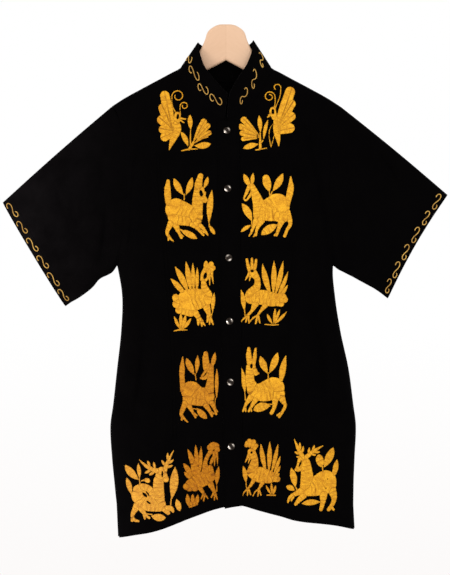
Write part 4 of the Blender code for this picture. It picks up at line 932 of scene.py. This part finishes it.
def circles(beside, up, count, flat=1.0):
    """Rings of points in the planes of two directions."""
    angles = np.linspace(0, 2 * math.pi, count, endpoint=False)[:, None]
    return beside[:, None] * np.cos(angles) + up[:, None] * np.sin(angles) * flat


def ring_faces(grid):
    after = np.roll(grid, -1, axis=1)
    return np.stack([grid[:-1], grid[1:], after[1:], after[:-1]], axis=-1).reshape(-1, 4)


def tube(path, radius, facing):
    """A cord of stitches along points, half sunk in the cloth."""
    count, turns = len(path), 8
    up = unit(facing)
    beside = unit(np.cross(unit(np.gradient(path, axis=0)), up))
    thin = np.minimum(1, np.minimum(np.arange(count), np.arange(count)[::-1]) / 2 + 0.25)
    points = path[:, None] + circles(beside, up, turns, 0.7) * radius * thin[:, None, None]
    grid = np.arange(count * turns).reshape(count, turns)
    cap = np.array([[0, 1, 2, 7], [2, 3, 6, 7], [3, 4, 5, 6]])
    faces = np.concatenate([ring_faces(grid), grid[0][cap], grid[-1][cap[:, ::-1]]])
    u, v = np.repeat(run_along(path), turns), np.tile(np.arange(turns) * 0.0004, count)
    return points.reshape(-1, 3), faces, np.stack([u[faces], v[faces]], axis=-1)


def merge(name, parts, finish):
    """One object from several lots of points, faces and stitch places."""
    points, faces, uvs = zip(*parts)
    starts = np.cumsum([0] + [len(lot) for lot in points])
    faces = np.concatenate([lot + start for lot, start in zip(faces, starts)])
    return grid_object(name, np.concatenate(points), faces, {"Cloth": np.concatenate(uvs)}, finish)


# Scrolls: turn of both ends and how sharply it sets in, size on the cuffs, half thickness of their
# cords, height over the cloth, the shares between which they stay on their piece, how long every
# second one in front is beside the others, and the span round the collar that gives its length.
SCROLL_TURN = (4.3, 5.1)
SCROLL_SHARP = 2.4
CUFF_SCROLL_SIZE = (0.0282, 0.0108)
CUFF_CORD = 0.0008
COLLAR_CORD = 0.00075
CORD_LIFT = 0.0001
ENDS = (0.004, 0.996)
SECOND_SCROLL = 0.92
COLLAR_SPAN = 0.02
# Share of the way down the cuff, distance in from its edge, size.
CUFF_SCROLLS = (
    (0.100, 0.0090, 1.02),
    (0.265, 0.0088, 0.98),
    (0.432, 0.0088, 1.00),
    (0.598, 0.0089, 1.04),
    (0.764, 0.0087, 1.00),
    (0.915, 0.0086, 0.92),
)
# Share of the way round the collar, share of the way up, length, width, tilt.
COLLAR_SCROLLS = (
    (0.073, 0.43, 0.0262, 0.0188, 8),
    (0.157, 0.38, 0.0265, 0.0160, 0),
    (0.228, 0.41, 0.0360, 0.0145, -6),
    (0.288, 0.42, 0.0150, 0.0155, 0),
    (0.360, 0.46, 0.0222, 0.0170, 0),
    (0.430, 0.46, 0.0228, 0.0170, 0),
    (0.500, 0.46, 0.0222, 0.0170, 0),
    (0.570, 0.46, 0.0226, 0.0170, 0),
    (0.640, 0.46, 0.0222, 0.0170, 0),
    (0.724, 0.46, 0.0145, 0.0185, 0),
    (0.801, 0.42, 0.0208, 0.0196, -6),
    (0.876, 0.32, 0.0200, 0.0172, 0),
)


def rotated(x, y, angle):
    return x * math.cos(angle) + y * math.sin(angle), y * math.cos(angle) - x * math.sin(angle)


def scroll(length, width):
    """An S with its second end curled further round, as distances along and across its axis."""
    share = np.linspace(-1, 1, 90)
    turn = np.where(share < 0, *SCROLL_TURN)
    angle = turn * np.log(np.cosh(SCROLL_SHARP * share)) / math.log(math.cosh(SCROLL_SHARP))
    x, y = (np.cumsum(part(angle)) for part in (np.cos, np.sin))
    x, y = x - x.mean(), y - y.mean()
    x, y = rotated(x, y, math.atan2(y[-25] - y[24], x[-25] - x[24]))
    return x / np.ptp(x) * length, y / np.ptp(y) * width


def cuff_scrolls(side, finish):
    parts = []
    top, bottom = np.array(CUFF_TOP[side > 0]), np.array(CUFF_BOTTOM[side > 0])
    long = math.hypot(*(bottom - top))
    ahead = (bottom - top) / long
    for back in (False, True):
        for number, (middle, across, size) in enumerate(CUFF_SCROLLS):
            along_cuff, inward = scroll(*(size * measure for measure in CUFF_SCROLL_SIZE))
            if number % 2 and not back:
                along_cuff = along_cuff * SECOND_SCROLL
            down = np.clip(middle + along_cuff / long, *ENDS)
            seam, cuff = (sleeve_point(side, np.full(len(down), along), down, back) for along in (0.0, 1.0))
            way = (seam - cuff)[:, [0, 2]] * (1, -1)
            share = (across - side * inward) / np.abs(way[:, 0] * ahead[1] - way[:, 1] * ahead[0])
            down = np.clip(down - way @ ahead * share / long, *ENDS)
            points, facing = on_sleeve(side, 1 - share, down, back, CLOTH + CORD_LIFT)
            parts.append(tube(points, CUFF_CORD, facing))
    return merge(f"embroidery_cuff_{'left' if side > 0 else 'right'}", parts, finish)


def collar_scrolls(finish):
    parts = []
    for middle, height, length, width, tilt in COLLAR_SCROLLS:
        ends = collar_point(np.array([middle - COLLAR_SPAN, middle + COLLAR_SPAN]), np.array([height, height]))
        along, across = scroll(length, width)
        along, across = rotated(along, across, math.radians(tilt))
        around = middle + along * (2 * COLLAR_SPAN / float(np.linalg.norm(ends[1] - ends[0])))
        inside = (around > ENDS[0]) & (around < ENDS[1])
        up = height - across / COLLAR_HEIGHT
        points, facing = on_collar(around[inside], up[inside], COLLAR_CLOTH + CORD_LIFT)
        parts.append(tube(points, COLLAR_CORD, facing))
    return merge("embroidery_collar", parts, finish)


def stitch_row(path, facing):
    """Short stitches along a line."""
    facing = np.broadcast_to(facing, path.shape)
    run = run_along(path)
    starts = np.arange(STITCH_PITCH / 2, run[-1] - STITCH_LENGTH, STITCH_PITCH)
    first, last, up = (
        np.column_stack([np.interp(at, run, values[:, axis]) for axis in range(3)])
        for at, values in ((starts, path), (starts + STITCH_LENGTH, path), (starts, facing))
    )
    up = unit(up)
    ring = circles(np.cross(unit(last - first), up), up, 5) * STITCH_RADIUS
    rings = [
        between(first[:, None], last[:, None], share) + ring * size + up[:, None] * STITCH_RADIUS * (size - 0.5)
        for share, size in ((0.0, 0.2), (0.25, 1.0), (0.75, 1.0), (1.0, 0.2))
    ]
    one = ring_faces(np.arange(20).reshape(4, 5))
    faces = (one + (np.arange(len(starts)) * 20)[:, None, None]).reshape(-1, 4)
    return np.stack(rings, axis=1).reshape(-1, 3), faces, np.zeros((len(faces), 4, 2))


def stitches(finish):
    """Rows of topstitching on the placket, the hems, the cuffs and the collar."""
    made = {}
    drop = np.linspace(*PLACKET_STITCHED, 500)
    share = (drop[0] - drop) / (drop[0] - drop[-1])
    lift, forward = CLOTH + STITCH_LIFT, np.array((0.0, -1.0, 0.0))
    made["stitching_placket"] = []
    for side, width in ((-1, PLACKET_RIGHT), (1, PLACKET_LEFT)):
        x = middle_x(drop) + side * PLACKET_STITCH * between(*width, share)
        made["stitching_placket"].append((front_point(x, drop, CLOTH + lift), forward))
    for side, name in ((-1, "right"), (1, "left")):
        share = np.linspace(0.09, 0.985, 300)
        x = between(middle_x(HEM_MIDDLE), outer_x(side, np.array([HEM_SIDE])), share)
        made[f"stitching_front_{name}"] = [(front_point(x, hem_drop(side, share) - HEM_STITCH, lift), forward)]
        down = np.linspace(0.01, 0.99, 200)
        rows = [on_sleeve(side, np.full(200, CUFF_STITCH), down, back, CLOTH) for back in (False, True)]
        made[f"stitching_cuff_{name}"] = rows
    share = np.linspace(0.02, 0.98, 400)
    ends = [outer_x(side, np.array([HEM_SIDE])) for side in (-1, 1)]
    x = ends[0] * (1 - share) + ends[1] * share
    made["stitching_back"] = [(back_point(x, read(BACK_HEM, 1, share) - HEM_STITCH, lift), -forward)]
    around = np.linspace(0.006, 0.994, 700)
    made["stitching_collar"] = [on_collar(around, np.full(700, up), COLLAR_CLOTH) for up in COLLAR_STITCHES]
    return {name: merge(name, [stitch_row(*row) for row in rows], finish) for name, rows in made.items()}


# Distance between threads of the weave, and how the cloth and the wood take the light.
WEAVE = 0.00055
COTTON_SHADER = {
    "Roughness": 0.80,
    "Specular IOR Level": 0.012,
    "Sheen Weight": 0.040,
    "Sheen Roughness": 0.25,
    "Sheen Tint": (1.0, 0.93, 0.96),
}
WOOD_SHADER = {"Roughness": 0.42, "Specular IOR Level": 0.35, "Coat Weight": 0.10, "Coat Roughness": 0.3}
# Satin stitch: distance between threads, and between the darker lines across broad strokes; half width
# of the dark vein of a wing stroke.
THREAD_PITCH = 0.0008
RUNG_PITCH = 0.0068
VEIN_HALF = 0.0010
# Painted highlights on a snap's rim: middle radius, width, and how much brighter one end is, per metre.
HIGHLIGHT_RADIUS = 0.0043
HIGHLIGHT_WIDTH = 0.0012
HIGHLIGHT_LEAN = 50.0


def new_node(tree, kind, inputs, **settings):
    """A new shader node with its settings and some of its inputs."""
    made = tree.nodes.new("ShaderNode" + kind)
    for name, value in settings.items():
        setattr(made, name, value)
    for name, value in inputs.items():
        put(made.inputs[name], value)
    return made


def put(socket, value):
    """Gives an input another node's output, a number or a colour."""
    if isinstance(value, Value):
        socket.id_data.links.new(value.socket, socket)
    else:
        socket.default_value = (*value, 1) if isinstance(value, tuple) else value


def maths(operation, *values):
    tree = next(value.socket.id_data for value in values if isinstance(value, Value))
    return Value(new_node(tree, "Math", dict(enumerate(values)), operation=operation).outputs[0])


class Value:
    """An output of a shader node; its sums and comparisons are maths nodes."""

    def __init__(self, socket):
        self.socket = socket

    def __add__(self, other):
        return maths("ADD", self, other)

    def __sub__(self, other):
        return maths("SUBTRACT", self, other)

    def __rsub__(self, other):
        return maths("SUBTRACT", other, self)

    def __mul__(self, other):
        return maths("MULTIPLY", self, other)

    def __truediv__(self, other):
        return maths("DIVIDE", self, other)

    def __pow__(self, other):
        return maths("POWER", self, other)

    def __lt__(self, other):
        return maths("LESS_THAN", self, other)

    def __gt__(self, other):
        return maths("GREATER_THAN", self, other)

    def __abs__(self):
        return maths("ABSOLUTE", self)


def sine(value):
    return maths("SINE", value)


def larger(value, other):
    return maths("MAXIMUM", value, other)


def clip(value, low=0.0, high=1.0):
    return maths("MINIMUM", larger(value, low), high)


def components(vector):
    split = new_node(vector.socket.id_data, "SeparateXYZ", {0: vector})
    return [Value(output) for output in split.outputs]


def joined(x, *others):
    return Value(new_node(x.socket.id_data, "CombineXYZ", dict(enumerate((x, *others)))).outputs[0])


def mixed(share, low, high):
    mix = new_node(share.socket.id_data, "Mix", {0: share, 6: low, 7: high}, data_type="RGBA")
    return Value(mix.outputs[2])


def noise(vector, scale, detail=3.0, roughness=0.5):
    inputs = {"Vector": vector, "Scale": scale, "Detail": detail, "Roughness": roughness}
    return Value(new_node(vector.socket.id_data, "TexNoise", inputs).outputs["Fac"])


def texture_places(tree):
    """The ways to place a texture, by name."""
    return {name: Value(output) for name, output in new_node(tree, "TexCoord", {}).outputs.items()}


def uv_map(tree, name):
    return Value(new_node(tree, "UVMap", {}, uv_map=name).outputs["UV"])


def new_material(name, inputs):
    """A material with one shader, and the places for its textures."""
    made = bpy.data.materials.new(name)
    made.use_nodes = True
    tree = made.node_tree
    tree.nodes.clear()
    shader = new_node(tree, "BsdfPrincipled", inputs)
    new_node(tree, "OutputMaterial", {"Surface": Value(shader.outputs["BSDF"])})
    return made, shader, texture_places(tree)


def dress(shader, colour, height, strength, distance):
    """Gives a shader its colour and its relief."""
    put(shader.inputs["Base Color"], colour)
    relief = new_node(shader.id_data, "Bump", {"Strength": strength, "Distance": distance, "Height": height})
    put(shader.inputs["Normal"], Value(relief.outputs["Normal"]))


def scaled(colour, *factors):
    return tuple(value * factor for value, factor in zip(colour, factors * 3))


def cotton(name, low, high):
    made, shader, at = new_material(name, COTTON_SHADER)
    wave_u, wave_v = (sine(part * (2 * math.pi / WEAVE)) for part in components(at["UV"])[:2])
    slub = noise(at["UV"], 420.0, 4.0, 0.6)
    lint = noise(at["Object"], 26.0, 4.0, 0.55)
    # Painted light: the cloth is painted paler towards the wearer's right side and sleeve, beyond x = -0.10 m
    # and patchy with the lint, standing in for light falling from that side.
    aside = larger((components(at["Object"])[0] + 0.10) * (-1 / 0.29), 0.0)
    colour = mixed(aside * aside * lint, mixed(lint, low, high), (0.0095, 0.0078, 0.0086))
    dress(shader, colour, wave_u * wave_v * 0.5 + slub * 1.2, 0.30, 0.0002)
    return made


def gold_thread(name, high, low):
    """Satin stitch: threads across each stroke, with darker lines where stitch fields meet."""
    made, shader, at = new_material(name, {"Roughness": 0.6, "Specular IOR Level": 0.12})
    along, across, _ = components(uv_map(shader.id_data, "Cloth"))
    apart, style, _ = components(uv_map(shader.id_data, "Seam"))
    wander = noise(at["Object"], 130.0, 3.0, 0.6)
    fleck = noise(at["Object"], 430.0, 2.0, 0.6)
    patch = noise(at["Object"], 60.0, 3.0, 0.5)
    shifted = along + wander * 0.0030
    streak = noise(joined(shifted, across * 0.22), 340.0, 2.0, 0.6)
    thread = sine(shifted * (2 * math.pi / THREAD_PITCH))
    is_broad, is_wing = (maths("COMPARE", style, number) for number in (1.0, 2.0))
    rung = (abs(sine(shifted * (math.pi / RUNG_PITCH))) < fleck * 0.34) * is_broad * 0.55
    vein = (abs(across + wander * 0.0016) < VEIN_HALF) * is_wing * 0.8
    lines = larger(larger(rung, vein), (apart < fleck * 0.0013) * 0.8)
    light = clip(streak * 2.2 + fleck * 1.5 + patch * 0.5 - 1.5)
    dark = lines * clip(patch * 2.4 - 0.55, 0.1)
    colour = mixed(dark, mixed(light, low, high), scaled(low, 0.45, 0.38, 0.4))
    dress(shader, colour, thread * 0.35 - lines + fleck * 0.8 + streak * 1.2, 0.6, 0.0003)
    return made


def wood():
    """Pale close-grained wood; the two arms meet at the middle and their grain runs down each of them."""
    made, shader, at = new_material("pale_wood", WOOD_SHADER)
    x, y, z = components(at["Object"])
    aside = abs(x)
    down_arm = joined(aside * 0.35, y, z + aside * 0.55)
    grain = noise(down_arm, 190.0, 5.0, 0.6)
    broad = noise(down_arm, 34.0)
    share = grain * 0.55 + broad * 0.6 - 0.08 + (x > 0.0005) * 0.16 - (aside < 0.0004) * 0.35
    dress(shader, mixed(share, (0.650, 0.400, 0.248), (0.762, 0.502, 0.328)), grain, 0.08, 0.0004)
    return made


def metal(name, colour, roughness):
    made, shader, at = new_material(name, {"Metallic": 1.0, "Roughness": roughness})
    marks = noise(at["Object"], 900.0, 4.0, 0.6)
    dress(shader, mixed(marks, scaled(colour, 0.8), colour), marks, 0.04, 0.0001)
    return made


def metal_with_painted_highlights(name, colour, highlight_colour, roughness):
    """Metal with two painted highlights: bright sweeps painted along its rolled rim."""
    made, shader, at = new_material(name, {"Metallic": 1.0, "Roughness": roughness})
    x, y, _ = components(at["Object"])
    squares, both = x * x + y * y, x + y
    # Painted highlights: a ring round the rim, brightest on two opposite sides and more on one of them, stands
    # in for reflected lamps.
    ring = clip(1.5 - abs(maths("SQRT", squares) - HIGHLIGHT_RADIUS) / HIGHLIGHT_WIDTH)
    painted_highlight = (both * both / (squares * 2.0)) ** 3.0 * (ring * (0.9 - both * HIGHLIGHT_LEAN))
    marks = noise(at["Object"], 700.0, 3.0, 0.6)
    dress(shader, mixed(painted_highlight * (marks * 0.8 + 0.5), colour, highlight_colour), marks, 0.04, 0.0001)
    return made


def plain(name, colour, roughness=0.9, specular=0.5):
    made, shader, at = new_material(name, {"Roughness": roughness, "Specular IOR Level": specular})
    put(shader.inputs["Base Color"], mixed(noise(at["Object"], 3.0), scaled(colour, 0.97), colour))
    return made


# Snap caps: share of the radius and height from the middle of the dish to the underside, turn of each.
SNAP_PROFILE = mm_rows("""
    0 1.85; 0.12 1.87; 0.2 2; 0.28 2.22; 0.38 2.32; 0.52 2.22; 0.66 1.95; 0.78 1.6; 0.88 1.18; 0.95 0.8;
    1 0.35; 1 0; 0 0
""", shares=1)
# The turn of each cap sets where its painted highlights lie.
SNAP_TURNS = (-5, 0, 73, -17, 20, -12)
SNAP_RADIUS = 0.0066
# Sides, levels of the dish, height of the cloth's stitched layers and of the cap above them, and how far
# from the middle the cloth is felt for the cap's facing.
SNAP_SIDES = 48
SNAP_DISH_LEVELS = 3
SNAP_LIFT = 0.0005
SNAP_CLEAR = 0.0002
SNAP_NEAR = 0.006

# Thread tones as brighter and darker colour, and the drawings sewn in other tones than the middle one.
GOLD = {
    "bright": ((0.90, 0.440, 0.020), (0.50, 0.190, 0.008)),
    "middle": ((0.84, 0.400, 0.018), (0.46, 0.170, 0.006)),
    "deep": ((0.74, 0.325, 0.014), (0.38, 0.125, 0.005)),
    "deeper": ((0.64, 0.255, 0.010), (0.32, 0.098, 0.003)),
    "deepest": ((0.545, 0.200, 0.004), (0.275, 0.074, 0.001)),
    "pale": ((0.78, 0.365, 0.034), (0.44, 0.160, 0.016)),
    "fine": ((0.93, 0.590, 0.150), (0.64, 0.360, 0.075)),
}
GOLD_TONE = {
    "butterfly_left": "bright",
    "deer_left": "bright",
    "rooster_left": "deep",
    "fawn_right": "deeper",
    "rooster_right": "deepest",
    "stag_right": "pale",
}


def snap_cap(number, drop, turned, bright, dark):
    """A turned cap with a rolled rim round a shallow dish."""
    shape = bmesh.new()
    angles = np.linspace(0, 2 * math.pi, SNAP_SIDES, endpoint=False)
    rings = [
        [
            shape.verts.new((math.cos(a) * radius * SNAP_RADIUS, math.sin(a) * radius * SNAP_RADIUS, height))
            for a in (angles if radius else angles[:1])
        ]
        for radius, height in SNAP_PROFILE
    ]
    for level, (low, high) in enumerate(zip(rings, rings[1:])):
        for turn in range(SNAP_SIDES):
            after = (turn + 1) % SNAP_SIDES
            corners = ((low, turn), (high, turn), (high, after), (low, after))
            used = dict.fromkeys(ring[turn_at % len(ring)] for ring, turn_at in corners)
            face = shape.faces.new(list(used))
            face.material_index = int(level < SNAP_DISH_LEVELS)
            face.smooth = True
    bmesh.ops.recalc_face_normals(shape, faces=shape.faces)
    mesh = bpy.data.meshes.new(f"snap_{number}_cap")
    shape.to_mesh(mesh)
    shape.free()
    mesh.materials.append(bright)
    mesh.materials.append(dark)
    obj = link(f"snap_{number}_cap", mesh)
    x = float(middle_x(drop))

    def at(dx, dd):
        return Vector(front_point(np.array(x + dx), np.array(drop + dd), 2 * CLOTH + SNAP_LIFT))

    aside, along = at(SNAP_NEAR, 0) - at(-SNAP_NEAR, 0), at(0, -SNAP_NEAR) - at(0, SNAP_NEAR)
    facing = aside.cross(along).normalized()
    upright = facing.to_track_quat("Z", "Y").to_matrix().to_4x4()
    stand = Matrix.Translation(at(0, 0) + facing * SNAP_CLEAR) @ upright
    obj.matrix_world = stand @ Matrix.Rotation(math.radians(turned), 4, "Z")
    return obj


# Hanger: x and drop round the block, x of the points along an arm's top, steps back from the arm's
# reach and down from its top round the tip, and x and drop of the two points underneath. The screw
# hole has a radius and a depth.
HANGER_BLOCK = mm_rows("""
    0 0; 12 0.6; 21 4; 29 9.5; 34 16.5; 36.5 25; 40 34; 45 44; 52 56; 60 68; 69 78.5; 80 83; 92 87
""")
HANGER_ARM = (0.104, 0.121, 0.140, 0.160, 0.180, 0.194)
HANGER_TIP = ((0.001, 0.0040), (0.000, 0.0090), (0.003, 0.0165), (0.012, 0.0180))
HANGER_UNDER = ((0.100, 0.1170), (0.000, 0.0640))
HANGER_REACH = 0.198
HANGER_SEAT = 0.0012
HANGER_THICK = 0.012
HANGER_EDGE = 0.0045
HANGER_HOLE = (0.0018, 0.022)


def baked(obj):
    """The object's mesh as its modifiers leave it."""
    bpy.context.view_layer.update()
    return bpy.data.meshes.new_from_object(obj.evaluated_get(bpy.context.evaluated_depsgraph_get()))


def hanger_outline():
    """Places round the hanger, as x and drop."""
    arm = [(x, float(shoulder_drop(x)) + HANGER_SEAT) for x in HANGER_ARM]
    tip_drop = float(shoulder_drop(HANGER_REACH))
    tip = [(HANGER_REACH - back, tip_drop + down) for back, down in HANGER_TIP]
    half = [*map(tuple, curved(np.array([*HANGER_BLOCK, *arm, *tip]), 4)), *HANGER_UNDER]
    half[0] = (0.0, half[0][1])
    return half + [(-x, drop) for x, drop in half[-2:0:-1]]


def hanger_object(finish):
    outline = hanger_outline()
    curve = bpy.data.curves.new("hanger_outline", "CURVE")
    curve.dimensions, curve.fill_mode = "2D", "BOTH"
    curve.extrude = HANGER_THICK / 2 - HANGER_EDGE
    curve.bevel_depth, curve.bevel_resolution, curve.offset = HANGER_EDGE, 5, -HANGER_EDGE
    spline = curve.splines.new("POLY")
    spline.points.add(len(outline) - 1)
    for point, (x, drop) in zip(spline.points, outline):
        point.co = (x, -drop, 0.0, 1.0)
    spline.use_cyclic_u = True
    flat = link("hanger_outline", curve)
    obj = link("hanger_wood", baked(flat))
    bpy.data.objects.remove(flat)
    obj.data.transform(Matrix.Rotation(math.pi / 2, 4, "X"))
    radius, deep = HANGER_HOLE
    drill = bmesh.new()
    bmesh.ops.create_cone(drill, cap_ends=True, segments=24, radius1=radius, radius2=radius, depth=2 * deep)
    tool = link("hanger_hole", bpy.data.meshes.new("hanger_hole"))
    drill.to_mesh(tool.data)
    drill.free()
    cut = obj.modifiers.new("Screw hole", "BOOLEAN")
    cut.operation, cut.object, cut.solver = "DIFFERENCE", tool, "EXACT"
    mesh = baked(obj)
    obj.modifiers.clear()
    obj.data = mesh
    bpy.data.objects.remove(tool)
    mesh.materials.clear()
    mesh.materials.append(finish)
    mesh.shade_smooth()
    return obj


# Lamps: name, place, width, power, colour. They face one place on the shirt.
LIGHTS = (
    ("key_light", (-1.9, -1.5, -0.85), 0.7, 17.0, (1.0, 0.99, 0.97)),
    ("fill_light", (1.3, -1.9, 0.7), 0.5, 6.0, (0.97, 0.98, 1.0)),
    ("back_light", (0.6, 2.2, 0.8), 1.6, 12.0, (1.0, 1.0, 1.0)),
)
LIT_PLACE = (0, 0, -0.45)
FLOOR_DROP = 1.62
CAMERA_PLACE = (-0.0018, -2.559, -0.4683)


def studio():
    scene = bpy.context.scene
    scene.world = bpy.data.worlds.new("studio")
    scene.world.use_nodes = True
    backdrop = scene.world.node_tree.nodes["Background"]
    backdrop.inputs["Strength"].default_value = 1.0
    height = components(texture_places(scene.world.node_tree)["Generated"])[2]
    low = clip((height + 0.03) * (-1 / 0.17))
    put(backdrop.inputs["Color"], mixed(low, (1.0, 1.0, 1.0), (0.972, 0.952, 0.945)))
    mesh = bpy.data.meshes.new("floor")
    shape = bmesh.new()
    bmesh.ops.create_circle(shape, cap_ends=True, segments=96, radius=3.0)
    shape.to_mesh(mesh)
    shape.free()
    mesh.materials.append(plain("floor_paper", (0.90, 0.90, 0.91)))
    floor = link("floor", mesh)
    floor.location = (0, 0, -FLOOR_DROP)
    for name, place_at, size, power, colour in LIGHTS:
        light = bpy.data.lights.new(name, "AREA")
        light.shape, light.size, light.energy, light.color = "DISK", size, power, colour
        lamp = link(name, light)
        lamp.location = place_at
        lamp.rotation_euler = (Vector(LIT_PLACE) - Vector(place_at)).to_track_quat("-Z", "Y").to_euler()
    camera = bpy.data.cameras.new("camera")
    camera.lens, camera.sensor_width = 90, 36
    scene.camera = link("camera", camera)
    scene.camera.location = CAMERA_PLACE
    scene.camera.rotation_euler = (math.pi / 2, 0, 0)
    scene.view_settings.view_transform = "Standard"
    scene.view_settings.look = "None"


def finish_piece(obj, slot, *nodes):
    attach(obj, "root")
    if nodes:
        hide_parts(*nodes)


# Cut of each cloth piece as it shows, all round on the sleeves: width, length and area in metres.
CUTS = {
    "back": (0.460, 0.840, 0.327, ("hanger",)),
    "front_right": (0.236, 0.835, 0.160, ("hanger", "back")),
    "front_left": (0.248, 0.820, 0.160, ("hanger", "back")),
    "placket": (0.045, 0.685, 0.0245, ("front_right", "front_left")),
    "collar": (0.395, 0.055, 0.0207, ("back", "front_right", "front_left")),
    "sleeve_right": (0.500, 0.270, 0.099, ("back", "front_right")),
    "sleeve_left": (0.480, 0.260, 0.091, ("back", "front_left")),
}

studio()
black = {
    name: cotton(f"{name}_cotton", (0.0007, 0.0005, 0.0006), (0.0014, 0.0011, 0.0012))
    for name in CUTS
}
thread_black = plain("black_thread", (0.0012, 0.0010, 0.0011), 0.7, 0.02)
gold = {name: gold_thread(f"gold_thread_{name}", *tones) for name, tones in GOLD.items()}
# Snap rims: dark metal with painted highlights.
chrome = metal_with_painted_highlights("snap_rim", (0.020, 0.015, 0.012), (0.98, 0.87, 0.76), 0.16)
dish = metal("snap_dish", (0.034, 0.026, 0.022), 0.18)

pieces = {
    "back": cloth("back_cloth", back_panel(), black["back"], flip=True),
    "front_right": cloth("front_right_cloth", front_panel(-1), black["front_right"]),
    "front_left": cloth("front_left_cloth", front_panel(1), black["front_left"], flip=True),
    "placket": cloth("placket_cloth", placket_rows(), black["placket"]),
    "sleeve_right": cloth("sleeve_right_cloth", sleeve_rings(-1), black["sleeve_right"], ring=True, flip=True),
    "sleeve_left": cloth("sleeve_left_cloth", sleeve_rings(1), black["sleeve_left"], ring=True),
}
collar_grid = collar_rows(np.linspace(0, 1, 260), np.linspace(0, 1, 15))
pieces["collar"] = cloth("collar_cloth", collar_grid, black["collar"], wall=COLLAR_CLOTH, flip=True)
for node, obj in pieces.items():
    finish_piece(obj, "black_cotton", node)

sewn = stitches(thread_black)
for obj in sewn.values():
    finish_piece(obj, "black_cotton")
motifs = {entry[0]: motif(*entry) for entry in MOTIFS}
for name, obj in motifs.items():
    obj.data.materials.append(gold[GOLD_TONE.get(name, "middle")])
    finish_piece(obj, "gold_thread")
scrolls = {
    "sleeve_right": cuff_scrolls(-1, gold["fine"]),
    "sleeve_left": cuff_scrolls(1, gold["fine"]),
    "collar": collar_scrolls(gold["fine"]),
}
for obj in scrolls.values():
    finish_piece(obj, "gold_thread")
for node, (width, length, area, held_by) in CUTS.items():
    stitched = "cuff" + node[6:] if node in ("sleeve_right", "sleeve_left") else node
    lying = [sewn[f"stitching_{stitched}"]]
    lying += [scrolls[node]] if node in scrolls else []
    lying += [motifs[name] for name in motifs if node == f"front_{name.split('_')[1]}"]
for number, (drop, turned) in enumerate(zip(SNAP_DROPS, SNAP_TURNS), 1):
    finish_piece(snap_cap(number, drop, turned, chrome, dish), "snap_metal", f"snap_{number}")
finish_piece(hanger_object(wood()), "pale_wood", "hanger")
